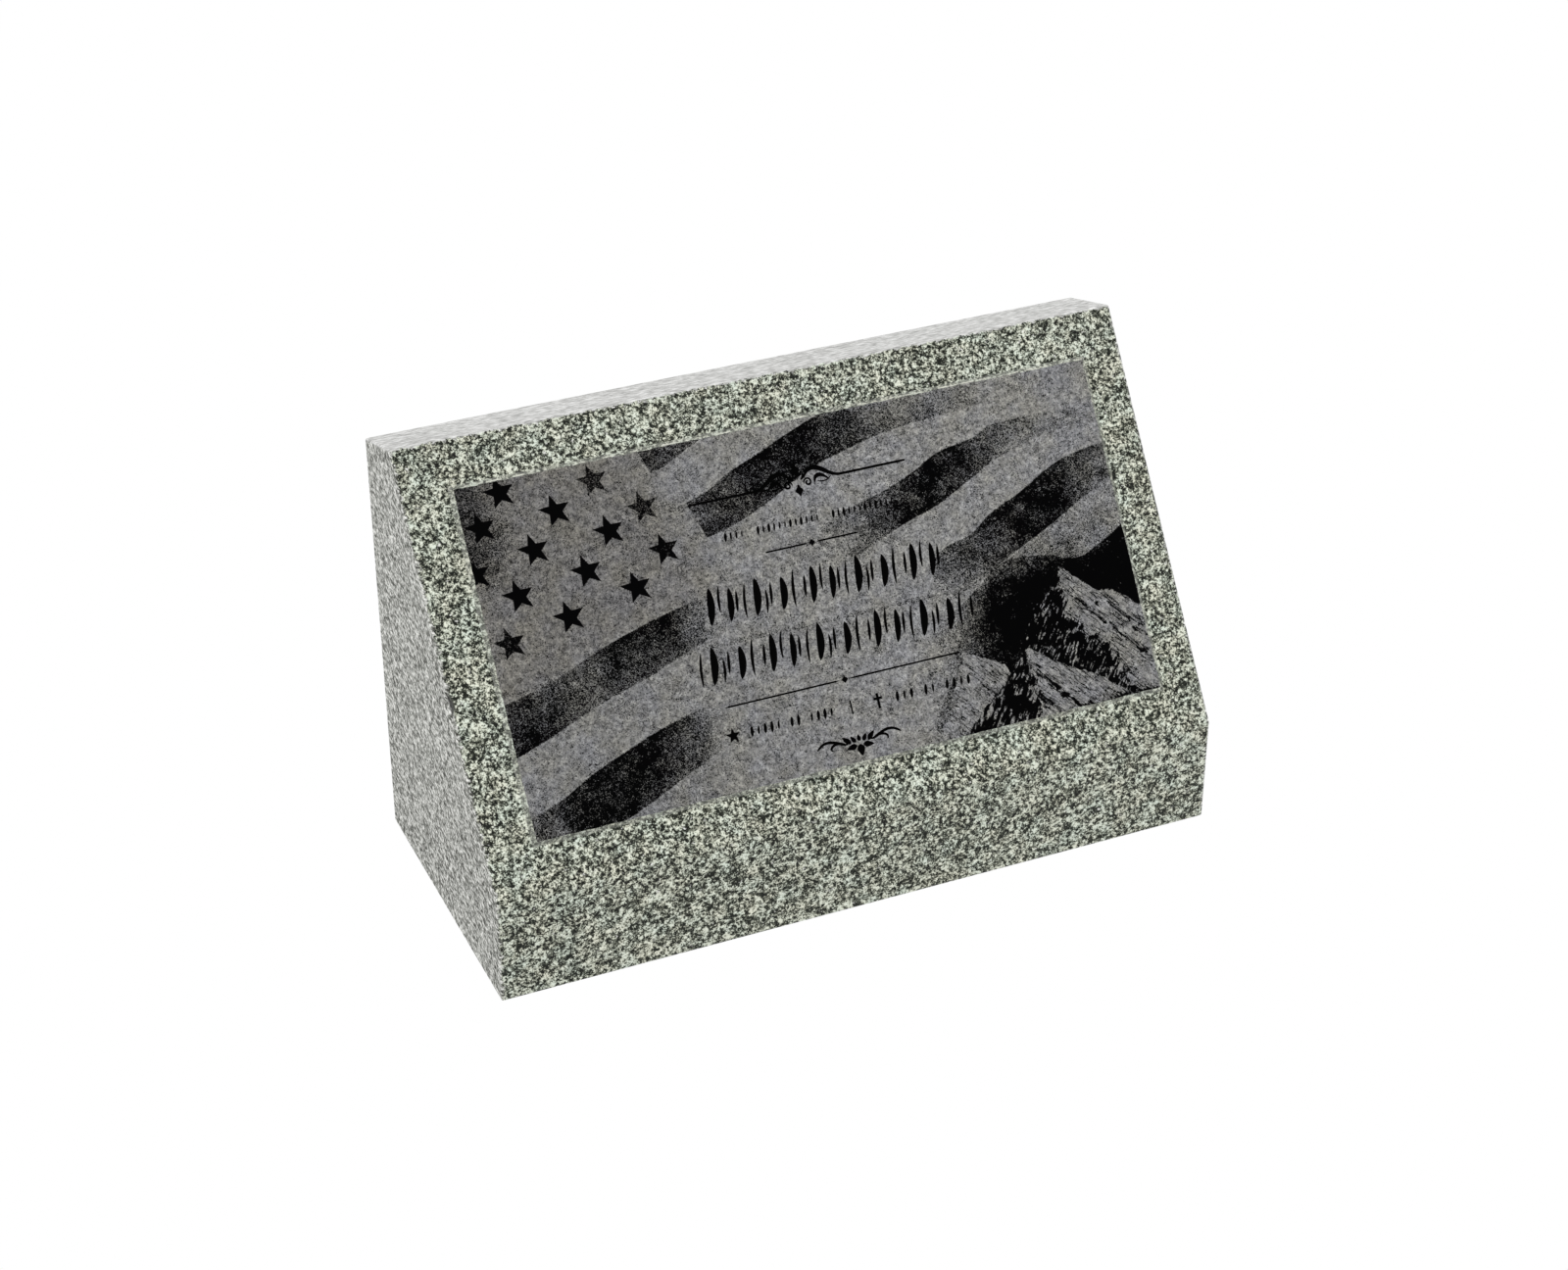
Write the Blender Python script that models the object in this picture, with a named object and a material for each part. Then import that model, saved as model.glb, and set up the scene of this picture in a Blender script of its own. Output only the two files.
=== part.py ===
"""Slant headstone: one block of grey granite with a sloping face and a low raised panel on it.

Metres, +Z up. The front looks towards -Y and the width runs along X. The origin is on the ground,
under the middle of the stone. The panel carries rules, ornaments and rows of shallow strokes.
"""

import math

import bmesh
import bpy
from mathutils import Matrix, Vector

# Block, all measured over the uneased edges
WIDTH = 0.610
BASE_DEPTH = 0.263
HEIGHT = 0.3765  # to the arris between the slant and the top
NOSE_HEIGHT = 0.092  # the upright front under the slant
TOP_DEPTH = 0.063  # measured level, from front to back
TOP_FALL = 0.021  # how much lower the top's back edge lies
ARRIS_EASE = 0.0016
NOSE_EASE = 0.004
EASE_STEPS = 3

# Panel on the slant: its foot, the rise of its face and the level run of its bevelled rim
PANEL_SIDE_MARGIN = 0.035
PANEL_TOP_MARGIN = 0.036
PANEL_BOTTOM_MARGIN = 0.0335
PANEL_SHIFT = 0.002  # the panel sits this far to the right of the stone's middle
PANEL_RISE = 0.0025
PANEL_BEVEL = 0.0035

# Cutting of the inscription
STROKE_DEPTH = 0.0013
FINE_DEPTH = 0.0009
RULE_WIDTH = 0.0014
CUT_LIFT = 0.25  # how far a cutter stands above the panel, as a share of its depth

# Nick in the left arris of the slant
NICK_PLACE = 0.426  # share of the slant's length, from its foot
NICK_LENGTH = 0.026
NICK_HEIGHT = 0.011  # on the side face, square to the arris
NICK_BITE = 0.003  # into the slant from the side face

# Inscription, laid out in shares of the panel face's height, from the face's middle
LETTERING_SHIFT = 0.013  # the middle of every row, to the right
STROKE_LEAN = math.radians(8)
TOP_RULE = {"height": 0.320, "reach": 0.341}
HEADING_ROW = {"height": 0.211, "size": 0.029, "ends": (-0.269, 0.269), "groups": (2, 6, 6)}
SHORT_RULE = {"height": 0.144, "reach": 0.147}
NAME_ROWS = (
    {"height": 0.027, "size": 0.111, "ends": (-0.368, 0.372), "groups": 7, "first": 0},
    {"height": -0.138, "size": 0.111, "ends": (-0.438, 0.438), "groups": 8, "first": 1},
)
LONG_RULE = {"height": -0.260, "reach": 0.375}
LOZENGE = {"half": 0.0105, "gap": 0.015}
DATE_HEIGHT = -0.342
DATE_SIZE = 0.034
DATE_ROWS = (
    {"height": DATE_HEIGHT, "size": DATE_SIZE, "ends": (-0.320, -0.052), "groups": (5, 2, 4)},
    {"height": DATE_HEIGHT, "size": DATE_SIZE, "ends": (0.134, 0.385), "groups": (3, 2, 4)},
)
STAR = {"place": -0.367, "radius": 0.020, "waist": 0.42}
DIVIDER_SIZE = 0.042
CROSS = {"place": 0.085, "size": 0.045, "span": 0.027, "bar": 0.008, "arm_height": 0.66}
SPRAY_HEIGHT = -0.445

# Large strokes: place in the group's pitch, then half width, length and bow in shares of the row
RHYTHMS = (
    ((-0.30, 0.090, 1.00, 0.045), (0.02, 0.027, 0.72, -0.027), (0.27, 0.077, 0.90, 0.036)),
    ((-0.26, 0.027, 0.92, -0.036), (0.04, 0.095, 1.00, 0.054), (0.31, 0.027, 0.66, 0.027)),
    ((-0.20, 0.090, 0.88, 0.063), (0.18, 0.032, 1.00, -0.036)),
)
# Small strokes in turn: half width and length in shares of the row
SMALL_RHYTHM = ((0.114, 1.00), (0.066, 0.80), (0.114, 0.92))

# Ornaments, drawn to the right of their middle in hundredths of the panel face's height
CREST_ARM = {"place": 5.0, "rise": 3.3, "spread": 3.2, "swell": 0.7}
CREST_STATIONS = (32.0, 14.0, 11.4, 9.6, 8.2, 6.8, 5.4, 4.0, 2.9, 2.0)
CREST_SCROLL = {"middle": (3.1, -0.4), "radius": 1.35, "turns": 1.25, "start": -20, "close": 0.72}
CREST_LEAF = ((9.4, -0.5), (8.0, 0.5), (6.6, 0.9), (5.5, 0.3), (5.1, -1.2))
CREST_LEAF_HALVES = (0.3, 0.5, 0.4)
UPPER_LOZENGE = ((0, 1.5), (0, 2.5), (0, 3.6), (0, 4.7), (0, 5.9))
UPPER_LOZENGE_HALVES = (0.45, 1.3, 0.45)
LOWER_LOZENGE = ((0, -0.4), (0, -1.3), (0, -2.4), (0, -4.2))
LOWER_LOZENGE_HALVES = (0.35, 1.15)
# Each leaf of the foot ornament: root, tip and half width
UPRIGHT_LEAVES = (((0, 0.35), (0, 2.4), 0.5), ((0, -0.4), (0, -4.0), 1.1))
PAIRED_LEAVES = (
    ((0.9, -0.7), (4.3, -1.2), 0.75),
    ((1.1, 0.2), (2.5, 2.2), 0.55),
    ((2.6, 0.1), (5.1, 2.5), 0.65),
)
SPRAY_STEM = ((4.1, 0.3), (6.2, 1.0), (8.4, 1.8), (10.4, 1.9), (12.0, 1.2), (13.3, 0.3))
SPRAY_CURL = ((6.6, 0.5), (7.8, 0.8), (8.8, 0.3), (8.9, -0.7))
SCROLL_HALF, STEM_HALF, CURL_HALF = 0.17, 0.22, 0.18

GRANITE = (0.42, 0.43, 0.40, 1.0)
PAINT = (0.012, 0.012, 0.012, 1.0)

# Frame of the slant: X across, Y up the slope, Z out of the stone, from the middle of its foot
SLANT_RUN = BASE_DEPTH - TOP_DEPTH
SLANT_RISE = HEIGHT - NOSE_HEIGHT
SLANT_LENGTH = math.hypot(SLANT_RUN, SLANT_RISE)
SLANT_ANGLE = math.atan2(SLANT_RISE, SLANT_RUN)
SLANT_FRAME = Matrix.Translation((0, -BASE_DEPTH / 2, NOSE_HEIGHT)) @ Matrix.Rotation(
    SLANT_ANGLE, 4, "X"
)

# Panel in the slant's frame
PANEL_LEFT = -WIDTH / 2 + PANEL_SIDE_MARGIN + PANEL_SHIFT
PANEL_RIGHT = WIDTH / 2 - PANEL_SIDE_MARGIN + PANEL_SHIFT
PANEL_FOOT = PANEL_BOTTOM_MARGIN
PANEL_HEAD = SLANT_LENGTH - PANEL_TOP_MARGIN
PANEL_MIDDLE = (PANEL_FOOT + PANEL_HEAD) / 2
FACE_HEIGHT = PANEL_HEAD - PANEL_FOOT - 2 * PANEL_BEVEL
MODULE = FACE_HEIGHT / 100
PANEL_FRAME = SLANT_FRAME @ Matrix.Translation((PANEL_SHIFT, PANEL_MIDDLE, PANEL_RISE))


def clear_scene():
    """Remove every object that the file opens with."""
    for item in list(bpy.data.objects):
        bpy.data.objects.remove(item, do_unlink=True)


def material(name, colour, roughness):
    """A plain Principled material."""
    made = bpy.data.materials.new(name)
    made.use_nodes = True
    shader = made.node_tree.nodes["Principled BSDF"]
    shader.inputs["Base Color"].default_value = colour
    shader.inputs["Roughness"].default_value = roughness
    shader.inputs["Metallic"].default_value = 0.0
    return made


def object_from(name, bm, materials):
    """Close a bmesh into a named object that carries the given materials."""
    bmesh.ops.recalc_face_normals(bm, faces=bm.faces[:])
    mesh = bpy.data.meshes.new(name)
    bm.to_mesh(mesh)
    bm.free()
    for item in materials:
        mesh.materials.append(item)
    made = bpy.data.objects.new(name, mesh)
    bpy.context.scene.collection.objects.link(made)
    return made


def ring_at(bm, left, right, foot, head, rise):
    """Four corners of a rectangle on the slant, from the lower left, going round."""
    corners = ((left, foot), (right, foot), (right, head), (left, head))
    return [bm.verts.new(SLANT_FRAME @ Vector((x, y, rise))) for x, y in corners]


def add_block(materials):
    """The stone: a five-sided prism whose slant carries the raised panel."""
    bm = bmesh.new()
    half = BASE_DEPTH / 2
    profile = (
        (-half, 0.0),
        (-half, NOSE_HEIGHT),
        (half - TOP_DEPTH, HEIGHT),
        (half, HEIGHT - TOP_FALL),
        (half, 0.0),
    )
    left = [bm.verts.new((-WIDTH / 2, y, z)) for y, z in profile]
    right = [bm.verts.new((WIDTH / 2, y, z)) for y, z in profile]
    bm.faces.new(left)
    bm.faces.new(right)
    corners = len(profile)
    nose_top, slant_top = 1, 2
    for i in range(corners):
        j = (i + 1) % corners
        if i != nose_top:
            bm.faces.new((left[i], left[j], right[j], right[i]))
    outer = [left[nose_top], right[nose_top], right[slant_top], left[slant_top]]
    foot = ring_at(bm, PANEL_LEFT, PANEL_RIGHT, PANEL_FOOT, PANEL_HEAD, 0.0)
    face = ring_at(
        bm,
        PANEL_LEFT + PANEL_BEVEL,
        PANEL_RIGHT - PANEL_BEVEL,
        PANEL_FOOT + PANEL_BEVEL,
        PANEL_HEAD - PANEL_BEVEL,
        PANEL_RISE,
    )
    for inner, outside in ((foot, outer), (face, foot)):
        for i in range(4):
            j = (i + 1) % 4
            bm.faces.new((outside[i], outside[j], inner[j], inner[i]))
    bm.faces.new(face)

    # Every outer edge is eased, and the one between the nose and the slant is rounded more.
    weight = bm.edges.layers.float.new("bevel_weight_edge")
    outline = set(left + right)
    for edge in bm.edges:
        if set(edge.verts) <= outline:
            is_nose = set(edge.verts) == {left[nose_top], right[nose_top]}
            edge[weight] = 1.0 if is_nose else ARRIS_EASE / NOSE_EASE
    block = object_from("slant_headstone", bm, materials)
    ease = block.modifiers.new("eased_edges", "BEVEL")
    ease.width = NOSE_EASE
    ease.limit_method = "WEIGHT"
    ease.segments = EASE_STEPS
    return block


def add_groove(bm, path, half_widths, depth):
    """A V-shaped cut along a path on the panel, pointed at both ends.

    path holds points in metres on the panel, and half_widths those of its inner points.
    """
    lift = depth * CUT_LIFT
    widen = 1 + CUT_LIFT
    points = [Vector((x, y, 0.0)) for x, y in path]
    up = Vector((0, 0, lift))
    first = points[0] + (points[0] - points[1]) * CUT_LIFT
    last = points[-1] + (points[-1] - points[-2]) * CUT_LIFT
    tips = [bm.verts.new(first + up), bm.verts.new(last + up)]
    rows = []
    for i, half_width in enumerate(half_widths, start=1):
        along = (points[i + 1] - points[i - 1]).normalized()
        aside = Vector((-along.y, along.x, 0.0)) * half_width * widen
        rows.append(
            [
                bm.verts.new(points[i] + aside + up),
                bm.verts.new(points[i] - Vector((0, 0, depth))),
                bm.verts.new(points[i] - aside + up),
            ]
        )
    for tip, row in ((tips[0], rows[0]), (tips[1], rows[-1])):
        for i in range(3):
            bm.faces.new((tip, row[i], row[(i + 1) % 3]))
    for row, ahead in zip(rows, rows[1:]):
        for i in range(3):
            j = (i + 1) % 3
            bm.faces.new((row[i], row[j], ahead[j], ahead[i]))


def add_star(bm, x, y, radius, waist, depth):
    """A five-pointed star, deepest at its middle."""
    points = []
    for i in range(10):
        reach = radius * (1.0 if i % 2 == 0 else waist) * (1 + CUT_LIFT)
        angle = math.pi / 2 + i * math.pi / 5
        place = (x + reach * math.cos(angle), y + reach * math.sin(angle), depth * CUT_LIFT)
        points.append(bm.verts.new(place))
    low = bm.verts.new((x, y, -depth))
    for i in range(10):
        bm.faces.new((points[i], points[(i + 1) % 10], low))
    bm.faces.new(points)


def add_cross(bm, x, y, size, span, bar, arm_height, depth):
    """A Latin cross with a flat floor."""
    half = bar / 2
    foot, head = y - size / 2, y + size / 2
    arm = foot + size * arm_height
    outline = (
        (-half, foot),
        (half, foot),
        (half, arm - half),
        (span / 2, arm - half),
        (span / 2, arm + half),
        (half, arm + half),
        (half, head),
        (-half, head),
        (-half, arm + half),
        (-span / 2, arm + half),
        (-span / 2, arm - half),
        (-half, arm - half),
    )
    lift = depth * CUT_LIFT
    upper = [bm.verts.new((x + px, py, lift)) for px, py in outline]
    lower = [bm.verts.new((x + px, py, -depth)) for px, py in outline]
    bm.faces.new(upper)
    bm.faces.new(lower)
    for i in range(len(outline)):
        j = (i + 1) % len(outline)
        bm.faces.new((upper[i], upper[j], lower[j], lower[i]))


def add_stroke(bm, x, y, size, half_width, bow, depth, steps):
    """One leaning stroke, pointed at both ends and bowed a little sideways."""
    path, halves = [], []
    for i in range(steps + 1):
        along = i / steps
        off = (along - 0.5) * size
        swell = math.sin(math.pi * along)
        path.append((x + off * math.tan(STROKE_LEAN) + bow * swell, y + off))
        if 0 < i < steps:
            halves.append(half_width * swell**0.6)
    add_groove(bm, path, halves, depth)


def add_name_row(bm, row):
    """A row of large strokes in groups of two or three, thick and thin by turns."""
    left, right = row["ends"]
    pitch = (right - left) / row["groups"]
    for group in range(row["groups"]):
        middle = LETTERING_SHIFT + left + pitch * (group + 0.5)
        strokes = RHYTHMS[(group + row["first"]) % len(RHYTHMS)]
        for order, (place, half_width, share, bow) in enumerate(strokes):
            full = row["size"] * FACE_HEIGHT
            size = full * share
            drop = (full - size) / 2 * (1 if order % 2 else -1)
            x = (middle + place * pitch) * FACE_HEIGHT
            y = row["height"] * FACE_HEIGHT + drop
            add_stroke(bm, x, y, size, half_width * full, bow * full, STROKE_DEPTH, 5)


def add_small_row(bm, row):
    """A row of small strokes, one for each sign, in groups set a space apart."""
    left, right = row["ends"]
    places = sum(row["groups"]) + len(row["groups"]) - 1
    pitch = (right - left) / places
    full = row["size"] * FACE_HEIGHT
    place = count = 0
    for signs in row["groups"]:
        for _ in range(signs):
            half_width, share = SMALL_RHYTHM[count % len(SMALL_RHYTHM)]
            x = (LETTERING_SHIFT + left + pitch * (place + 0.5)) * FACE_HEIGHT
            y = row["height"] * FACE_HEIGHT
            add_stroke(bm, x, y, full * share, half_width * full, 0.0, FINE_DEPTH, 4)
            place += 1
            count += 1
        place += 1


def add_line(bm, start, end):
    """A straight cut of even width, pointed over its first and last bit."""
    start, end = Vector(start), Vector(end)
    path = [tuple(start.lerp(end, share)) for share in (0.0, 0.04, 0.5, 0.96, 1.0)]
    add_groove(bm, path, (RULE_WIDTH / 2,) * 3, FINE_DEPTH)


def add_rule(bm, rule):
    """A thin rule with a lozenge in its middle."""
    x, y = LETTERING_SHIFT * FACE_HEIGHT, rule["height"] * FACE_HEIGHT
    for side in (-1, 1):
        near, far = (side * share * FACE_HEIGHT for share in (LOZENGE["gap"], rule["reach"]))
        add_line(bm, (x + near, y), (x + far, y))
    half = LOZENGE["half"] * FACE_HEIGHT
    add_groove(bm, ((x, y - half), (x, y), (x, y + half)), (half,), FINE_DEPTH)


def add_drawn(bm, points, halves, height, side, depth):
    """A cut drawn in modules beside the middle of an ornament; side -1 mirrors it."""
    x, y = LETTERING_SHIFT * FACE_HEIGHT, height * FACE_HEIGHT
    path = [(x + side * px * MODULE, y + py * MODULE) for px, py in points]
    add_groove(bm, path, [half * MODULE for half in halves], depth)


def add_crest(bm):
    """The top rule, whose arms rise to a lozenge between two scrolls."""
    height = TOP_RULE["height"]

    # The arm runs level and then swells up and over its crest.
    arm, arm_halves = [(TOP_RULE["reach"] * FACE_HEIGHT / MODULE, 0.0)], []
    for x in CREST_STATIONS:
        bump = math.exp(-(((x - CREST_ARM["place"]) / CREST_ARM["spread"]) ** 2))
        arm.append((x, CREST_ARM["rise"] * bump))
        arm_halves.append(RULE_WIDTH / 2 / MODULE * (1 + CREST_ARM["swell"] * bump))

    # The scroll closes in on itself under the arm's inner end.
    scroll, steps = [], 10
    for i in range(steps + 1):
        along = i / steps
        angle = math.radians(CREST_SCROLL["start"] + 360 * CREST_SCROLL["turns"] * along)
        reach = CREST_SCROLL["radius"] * (1 - CREST_SCROLL["close"] * along)
        x, y = CREST_SCROLL["middle"]
        scroll.append((x - reach * math.cos(angle), y + reach * math.sin(angle)))

    for side in (-1, 1):
        add_drawn(bm, arm, arm_halves[:-1], height, side, FINE_DEPTH)
        add_drawn(bm, scroll, (SCROLL_HALF,) * (steps - 1), height, side, FINE_DEPTH)
        add_drawn(bm, CREST_LEAF, CREST_LEAF_HALVES, height, side, FINE_DEPTH)
    add_drawn(bm, UPPER_LOZENGE, UPPER_LOZENGE_HALVES, height, 1, STROKE_DEPTH)
    add_drawn(bm, LOWER_LOZENGE, LOWER_LOZENGE_HALVES, height, 1, STROKE_DEPTH)


def add_spray(bm):
    """The foot ornament: leaves round a middle, between two curling stems."""
    leaves = [(leaf, 1) for leaf in UPRIGHT_LEAVES]
    leaves += [(leaf, side) for leaf in PAIRED_LEAVES for side in (-1, 1)]
    for (root, tip, half_width), side in leaves:
        path = [Vector(root).lerp(Vector(tip), share) for share in (0.0, 0.3, 0.62, 1.0)]
        add_drawn(bm, path, (half_width, half_width * 0.75), SPRAY_HEIGHT, side, FINE_DEPTH)
    for curve, half in ((SPRAY_STEM, STEM_HALF), (SPRAY_CURL, CURL_HALF)):
        for side in (-1, 1):
            halves = (half,) * (len(curve) - 2)
            add_drawn(bm, curve, halves, SPRAY_HEIGHT, side, FINE_DEPTH)


def add_date_signs(bm):
    """The star, the divider and the cross beside the two rows of dates."""
    y = DATE_HEIGHT * FACE_HEIGHT
    x = (LETTERING_SHIFT + STAR["place"]) * FACE_HEIGHT
    add_star(bm, x, y, STAR["radius"] * FACE_HEIGHT, STAR["waist"], FINE_DEPTH)
    x = LETTERING_SHIFT * FACE_HEIGHT
    half = DIVIDER_SIZE / 2 * FACE_HEIGHT
    add_line(bm, (x, y - half), (x, y + half))
    x = (LETTERING_SHIFT + CROSS["place"]) * FACE_HEIGHT
    size, span, bar = (CROSS[key] * FACE_HEIGHT for key in ("size", "span", "bar"))
    add_cross(bm, x, y, size, span, bar, CROSS["arm_height"], FINE_DEPTH)


def add_inscription(materials):
    """One cutter that holds every cut of the panel, set on the panel's face."""
    bm = bmesh.new()
    add_crest(bm)
    add_small_row(bm, HEADING_ROW)
    add_rule(bm, SHORT_RULE)
    for row in NAME_ROWS:
        add_name_row(bm, row)
    add_rule(bm, LONG_RULE)
    for row in DATE_ROWS:
        add_small_row(bm, row)
    add_date_signs(bm)
    add_spray(bm)
    for face in bm.faces:
        face.material_index = 1
    bmesh.ops.transform(bm, matrix=PANEL_FRAME, verts=bm.verts[:])
    return object_from("inscription_cutter", bm, materials)


def add_nick(materials):
    """The cutter for a shallow flake that is missing from the left arris."""
    bm = bmesh.new()
    bmesh.ops.create_icosphere(bm, subdivisions=2, radius=1.0)
    size = Matrix.Diagonal((NICK_BITE, NICK_LENGTH / 2, NICK_HEIGHT, 1.0))
    place = Matrix.Translation((-WIDTH / 2, SLANT_LENGTH * NICK_PLACE, 0.0))
    bmesh.ops.transform(bm, matrix=SLANT_FRAME @ place @ size, verts=bm.verts[:])
    return object_from("nick_cutter", bm, materials)


def cut(block, cutter):
    """Take a cutter away from the block, and keep the cutter out of the model."""
    away = block.modifiers.new(cutter.name, "BOOLEAN")
    away.operation = "DIFFERENCE"
    away.solver = "EXACT"
    away.object = cutter
    cutter.hide_render = True
    cutter.display_type = "WIRE"


def main():
    clear_scene()
    materials = (
        material("granite", GRANITE, 0.35),
        material("inscription_paint", PAINT, 0.6),
    )
    block = add_block(materials)
    cut(block, add_nick(materials))
    cut(block, add_inscription(materials))


main()
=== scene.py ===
"""The looks of a slant headstone of grey granite, with an etched and lettered panel on its slant.

Metres, in the part's own frame: +Z up, the slant looks towards -Y, X runs across.
"""

import math
import random

import bmesh
import bpy
from mathutils import Matrix, Vector


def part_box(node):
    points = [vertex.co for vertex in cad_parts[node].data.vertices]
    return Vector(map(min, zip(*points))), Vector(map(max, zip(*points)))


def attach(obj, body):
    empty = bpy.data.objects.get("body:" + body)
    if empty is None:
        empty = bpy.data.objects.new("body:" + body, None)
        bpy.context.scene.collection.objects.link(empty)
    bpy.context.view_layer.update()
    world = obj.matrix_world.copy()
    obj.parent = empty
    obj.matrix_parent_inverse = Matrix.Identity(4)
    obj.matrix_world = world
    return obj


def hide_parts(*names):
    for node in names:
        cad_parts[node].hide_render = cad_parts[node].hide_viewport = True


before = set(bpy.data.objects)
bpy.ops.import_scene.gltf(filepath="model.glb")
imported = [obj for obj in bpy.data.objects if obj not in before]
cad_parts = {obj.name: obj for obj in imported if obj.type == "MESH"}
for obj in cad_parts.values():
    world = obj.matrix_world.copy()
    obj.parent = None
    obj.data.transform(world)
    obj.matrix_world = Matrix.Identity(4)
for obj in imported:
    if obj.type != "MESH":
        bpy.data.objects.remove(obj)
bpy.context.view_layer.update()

NODE = "slant_headstone"

# Block, as its solid has it
LOW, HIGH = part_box(NODE)
WIDTH = HIGH.x - LOW.x
DEPTH = HIGH.y - LOW.y
HEIGHT = 0.3765
NOSE_HEIGHT = 0.092
TOP_DEPTH = 0.063
TOP_FALL = 0.021
ARRIS_EASE = 0.0016
NOSE_EASE = 0.004
EASE_STEPS = 4

SLANT_RUN = DEPTH - TOP_DEPTH
SLANT_RISE = HEIGHT - NOSE_HEIGHT
SLANT_LENGTH = math.hypot(SLANT_RUN, SLANT_RISE)
SLANT_ANGLE = math.atan2(SLANT_RISE, SLANT_RUN)
SLANT_FOOT = Vector((0, -DEPTH / 2, NOSE_HEIGHT))
SLANT_FRAME = Matrix.Translation(SLANT_FOOT) @ Matrix.Rotation(SLANT_ANGLE, 4, "X")
TOP_CORNER = Vector((-WIDTH / 2, DEPTH / 2, HEIGHT - TOP_FALL))
# The block seen from its side, from the front's foot round to the back's
PROFILE = (
    (-DEPTH / 2, 0.0), (-DEPTH / 2, NOSE_HEIGHT), (DEPTH / 2 - TOP_DEPTH, HEIGHT),
    (DEPTH / 2, HEIGHT - TOP_FALL), (DEPTH / 2, 0.0),
)
SLANT_CORNER = 1  # the slant runs from this corner of the profile to the next

RIGHTWARD, BACKWARD, UPWARD = Vector((1, 0, 0)), Vector((0, 1, 0)), Vector((0, 0, 1))
SLANT_UP = Vector((0, SLANT_RUN, SLANT_RISE)) / SLANT_LENGTH
SLANT_OUT = Vector((0, -SLANT_RISE, SLANT_RUN)) / SLANT_LENGTH
TOP_OUT = Vector((0, TOP_FALL, TOP_DEPTH)).normalized()

# Panel, in the slant's frame: X across, Y up the slope, Z out of the stone
PANEL_SIDE_MARGIN = 0.035
PANEL_TOP_MARGIN = 0.036
PANEL_FOOT = 0.0335
PANEL_SHIFT = 0.002
PANEL_RISE = 0.0025
PANEL_BEVEL = 0.0035
PANEL_LEFT = -WIDTH / 2 + PANEL_SIDE_MARGIN + PANEL_SHIFT
PANEL_RIGHT = WIDTH / 2 - PANEL_SIDE_MARGIN + PANEL_SHIFT
PANEL_HEAD = SLANT_LENGTH - PANEL_TOP_MARGIN
PANEL_MIDDLE = (PANEL_FOOT + PANEL_HEAD) / 2
FACE_HEIGHT = PANEL_HEAD - PANEL_FOOT - 2 * PANEL_BEVEL
MODULE = FACE_HEIGHT / 100
PANEL_FRAME = SLANT_FRAME @ Matrix.Translation((PANEL_SHIFT, PANEL_MIDDLE, PANEL_RISE))
RIM_STEP = 0.004  # between the points of the rim's wavering edges
RIM_WAVER = 0.00035
RIM_SEED = 5
RIM_RINGS = ((0.0, 0.0), (0.55, 0.62), (1.0, 1.0))  # shares of the bevel's run and rise
RIM_HIGHLIGHT = 0.72  # how far in from the rim's head the painted highlight line lies, in bevels

# Cuts, with the same places as in the solid
STROKE_DEPTH = 0.0013
FINE_DEPTH = 0.0009
LEAST_DEPTH = 0.0003
LEAST_WIDTH = 0.06  # as a share of the cut's widest place
DEPTH_POWER = 0.7  # how a cut grows shallower where it is narrower
SWELL_POWER = 0.6  # how soon a stroke swells from its ends
STROKE_STEPS, FINE_STEPS = 12, 6
LINE_TAPER = 0.04
RULE_WIDTH = 0.0014
PAINT_SPREAD = 0.00035  # how far the paint runs past the edge of a stroke or an ornament
CUT_LIFT = 0.25
LETTERING_SHIFT = 0.013
STROKE_LEAN = math.radians(8)
CREST_HEIGHT = 0.320
HEADING_ROW = {"height": 0.211, "size": 0.029, "ends": (-0.269, 0.269), "groups": (2, 6, 6)}
SHORT_RULE = {"height": 0.144, "reach": 0.147}
NAME_ROWS = (
    {"height": 0.027, "size": 0.111, "ends": (-0.368, 0.372), "groups": 7, "first": 0},
    {"height": -0.138, "size": 0.111, "ends": (-0.438, 0.438), "groups": 8, "first": 1},
)
LONG_RULE = {"height": -0.260, "reach": 0.375}
LOZENGE = {"half": 0.0105, "gap": 0.015}
DATE_HEIGHT = -0.342
DATE_SIZE = 0.034
DATE_ROWS = (
    {"height": DATE_HEIGHT, "size": DATE_SIZE, "ends": (-0.320, -0.052), "groups": (5, 2, 4)},
    {"height": DATE_HEIGHT, "size": DATE_SIZE, "ends": (0.134, 0.385), "groups": (3, 2, 4)},
)
STAR = {"place": -0.367, "radius": 0.024, "waist": 0.42}
STAR_POINTS = 5
DIVIDER_SIZE = 0.042
CROSS = {"place": 0.085, "size": 0.045, "span": 0.027, "bar": 0.008, "arm_height": 0.66}
SPRAY_HEIGHT = -0.445
RHYTHMS = (
    ((-0.3, 0.09, 1, 0.045), (0.02, 0.027, 0.72, -0.027), (0.27, 0.077, 0.9, 0.036)),
    ((-0.26, 0.027, 0.92, -0.036), (0.04, 0.095, 1, 0.054), (0.31, 0.027, 0.66, 0.027)),
    ((-0.2, 0.09, 0.88, 0.063), (0.18, 0.032, 1, -0.036)),
)
SMALL_RHYTHM = ((0.114, 1), (0.066, 0.8), (0.114, 0.92))
# Finer strokes than the solid has: one between two large groups, and one beside a wide sign
HAIRLINE = {"place": 0.49, "share": 0.62, "width": 0.03}
COMPANION = {"aside": 0.5, "share": 0.85, "width": 0.6}

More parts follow.
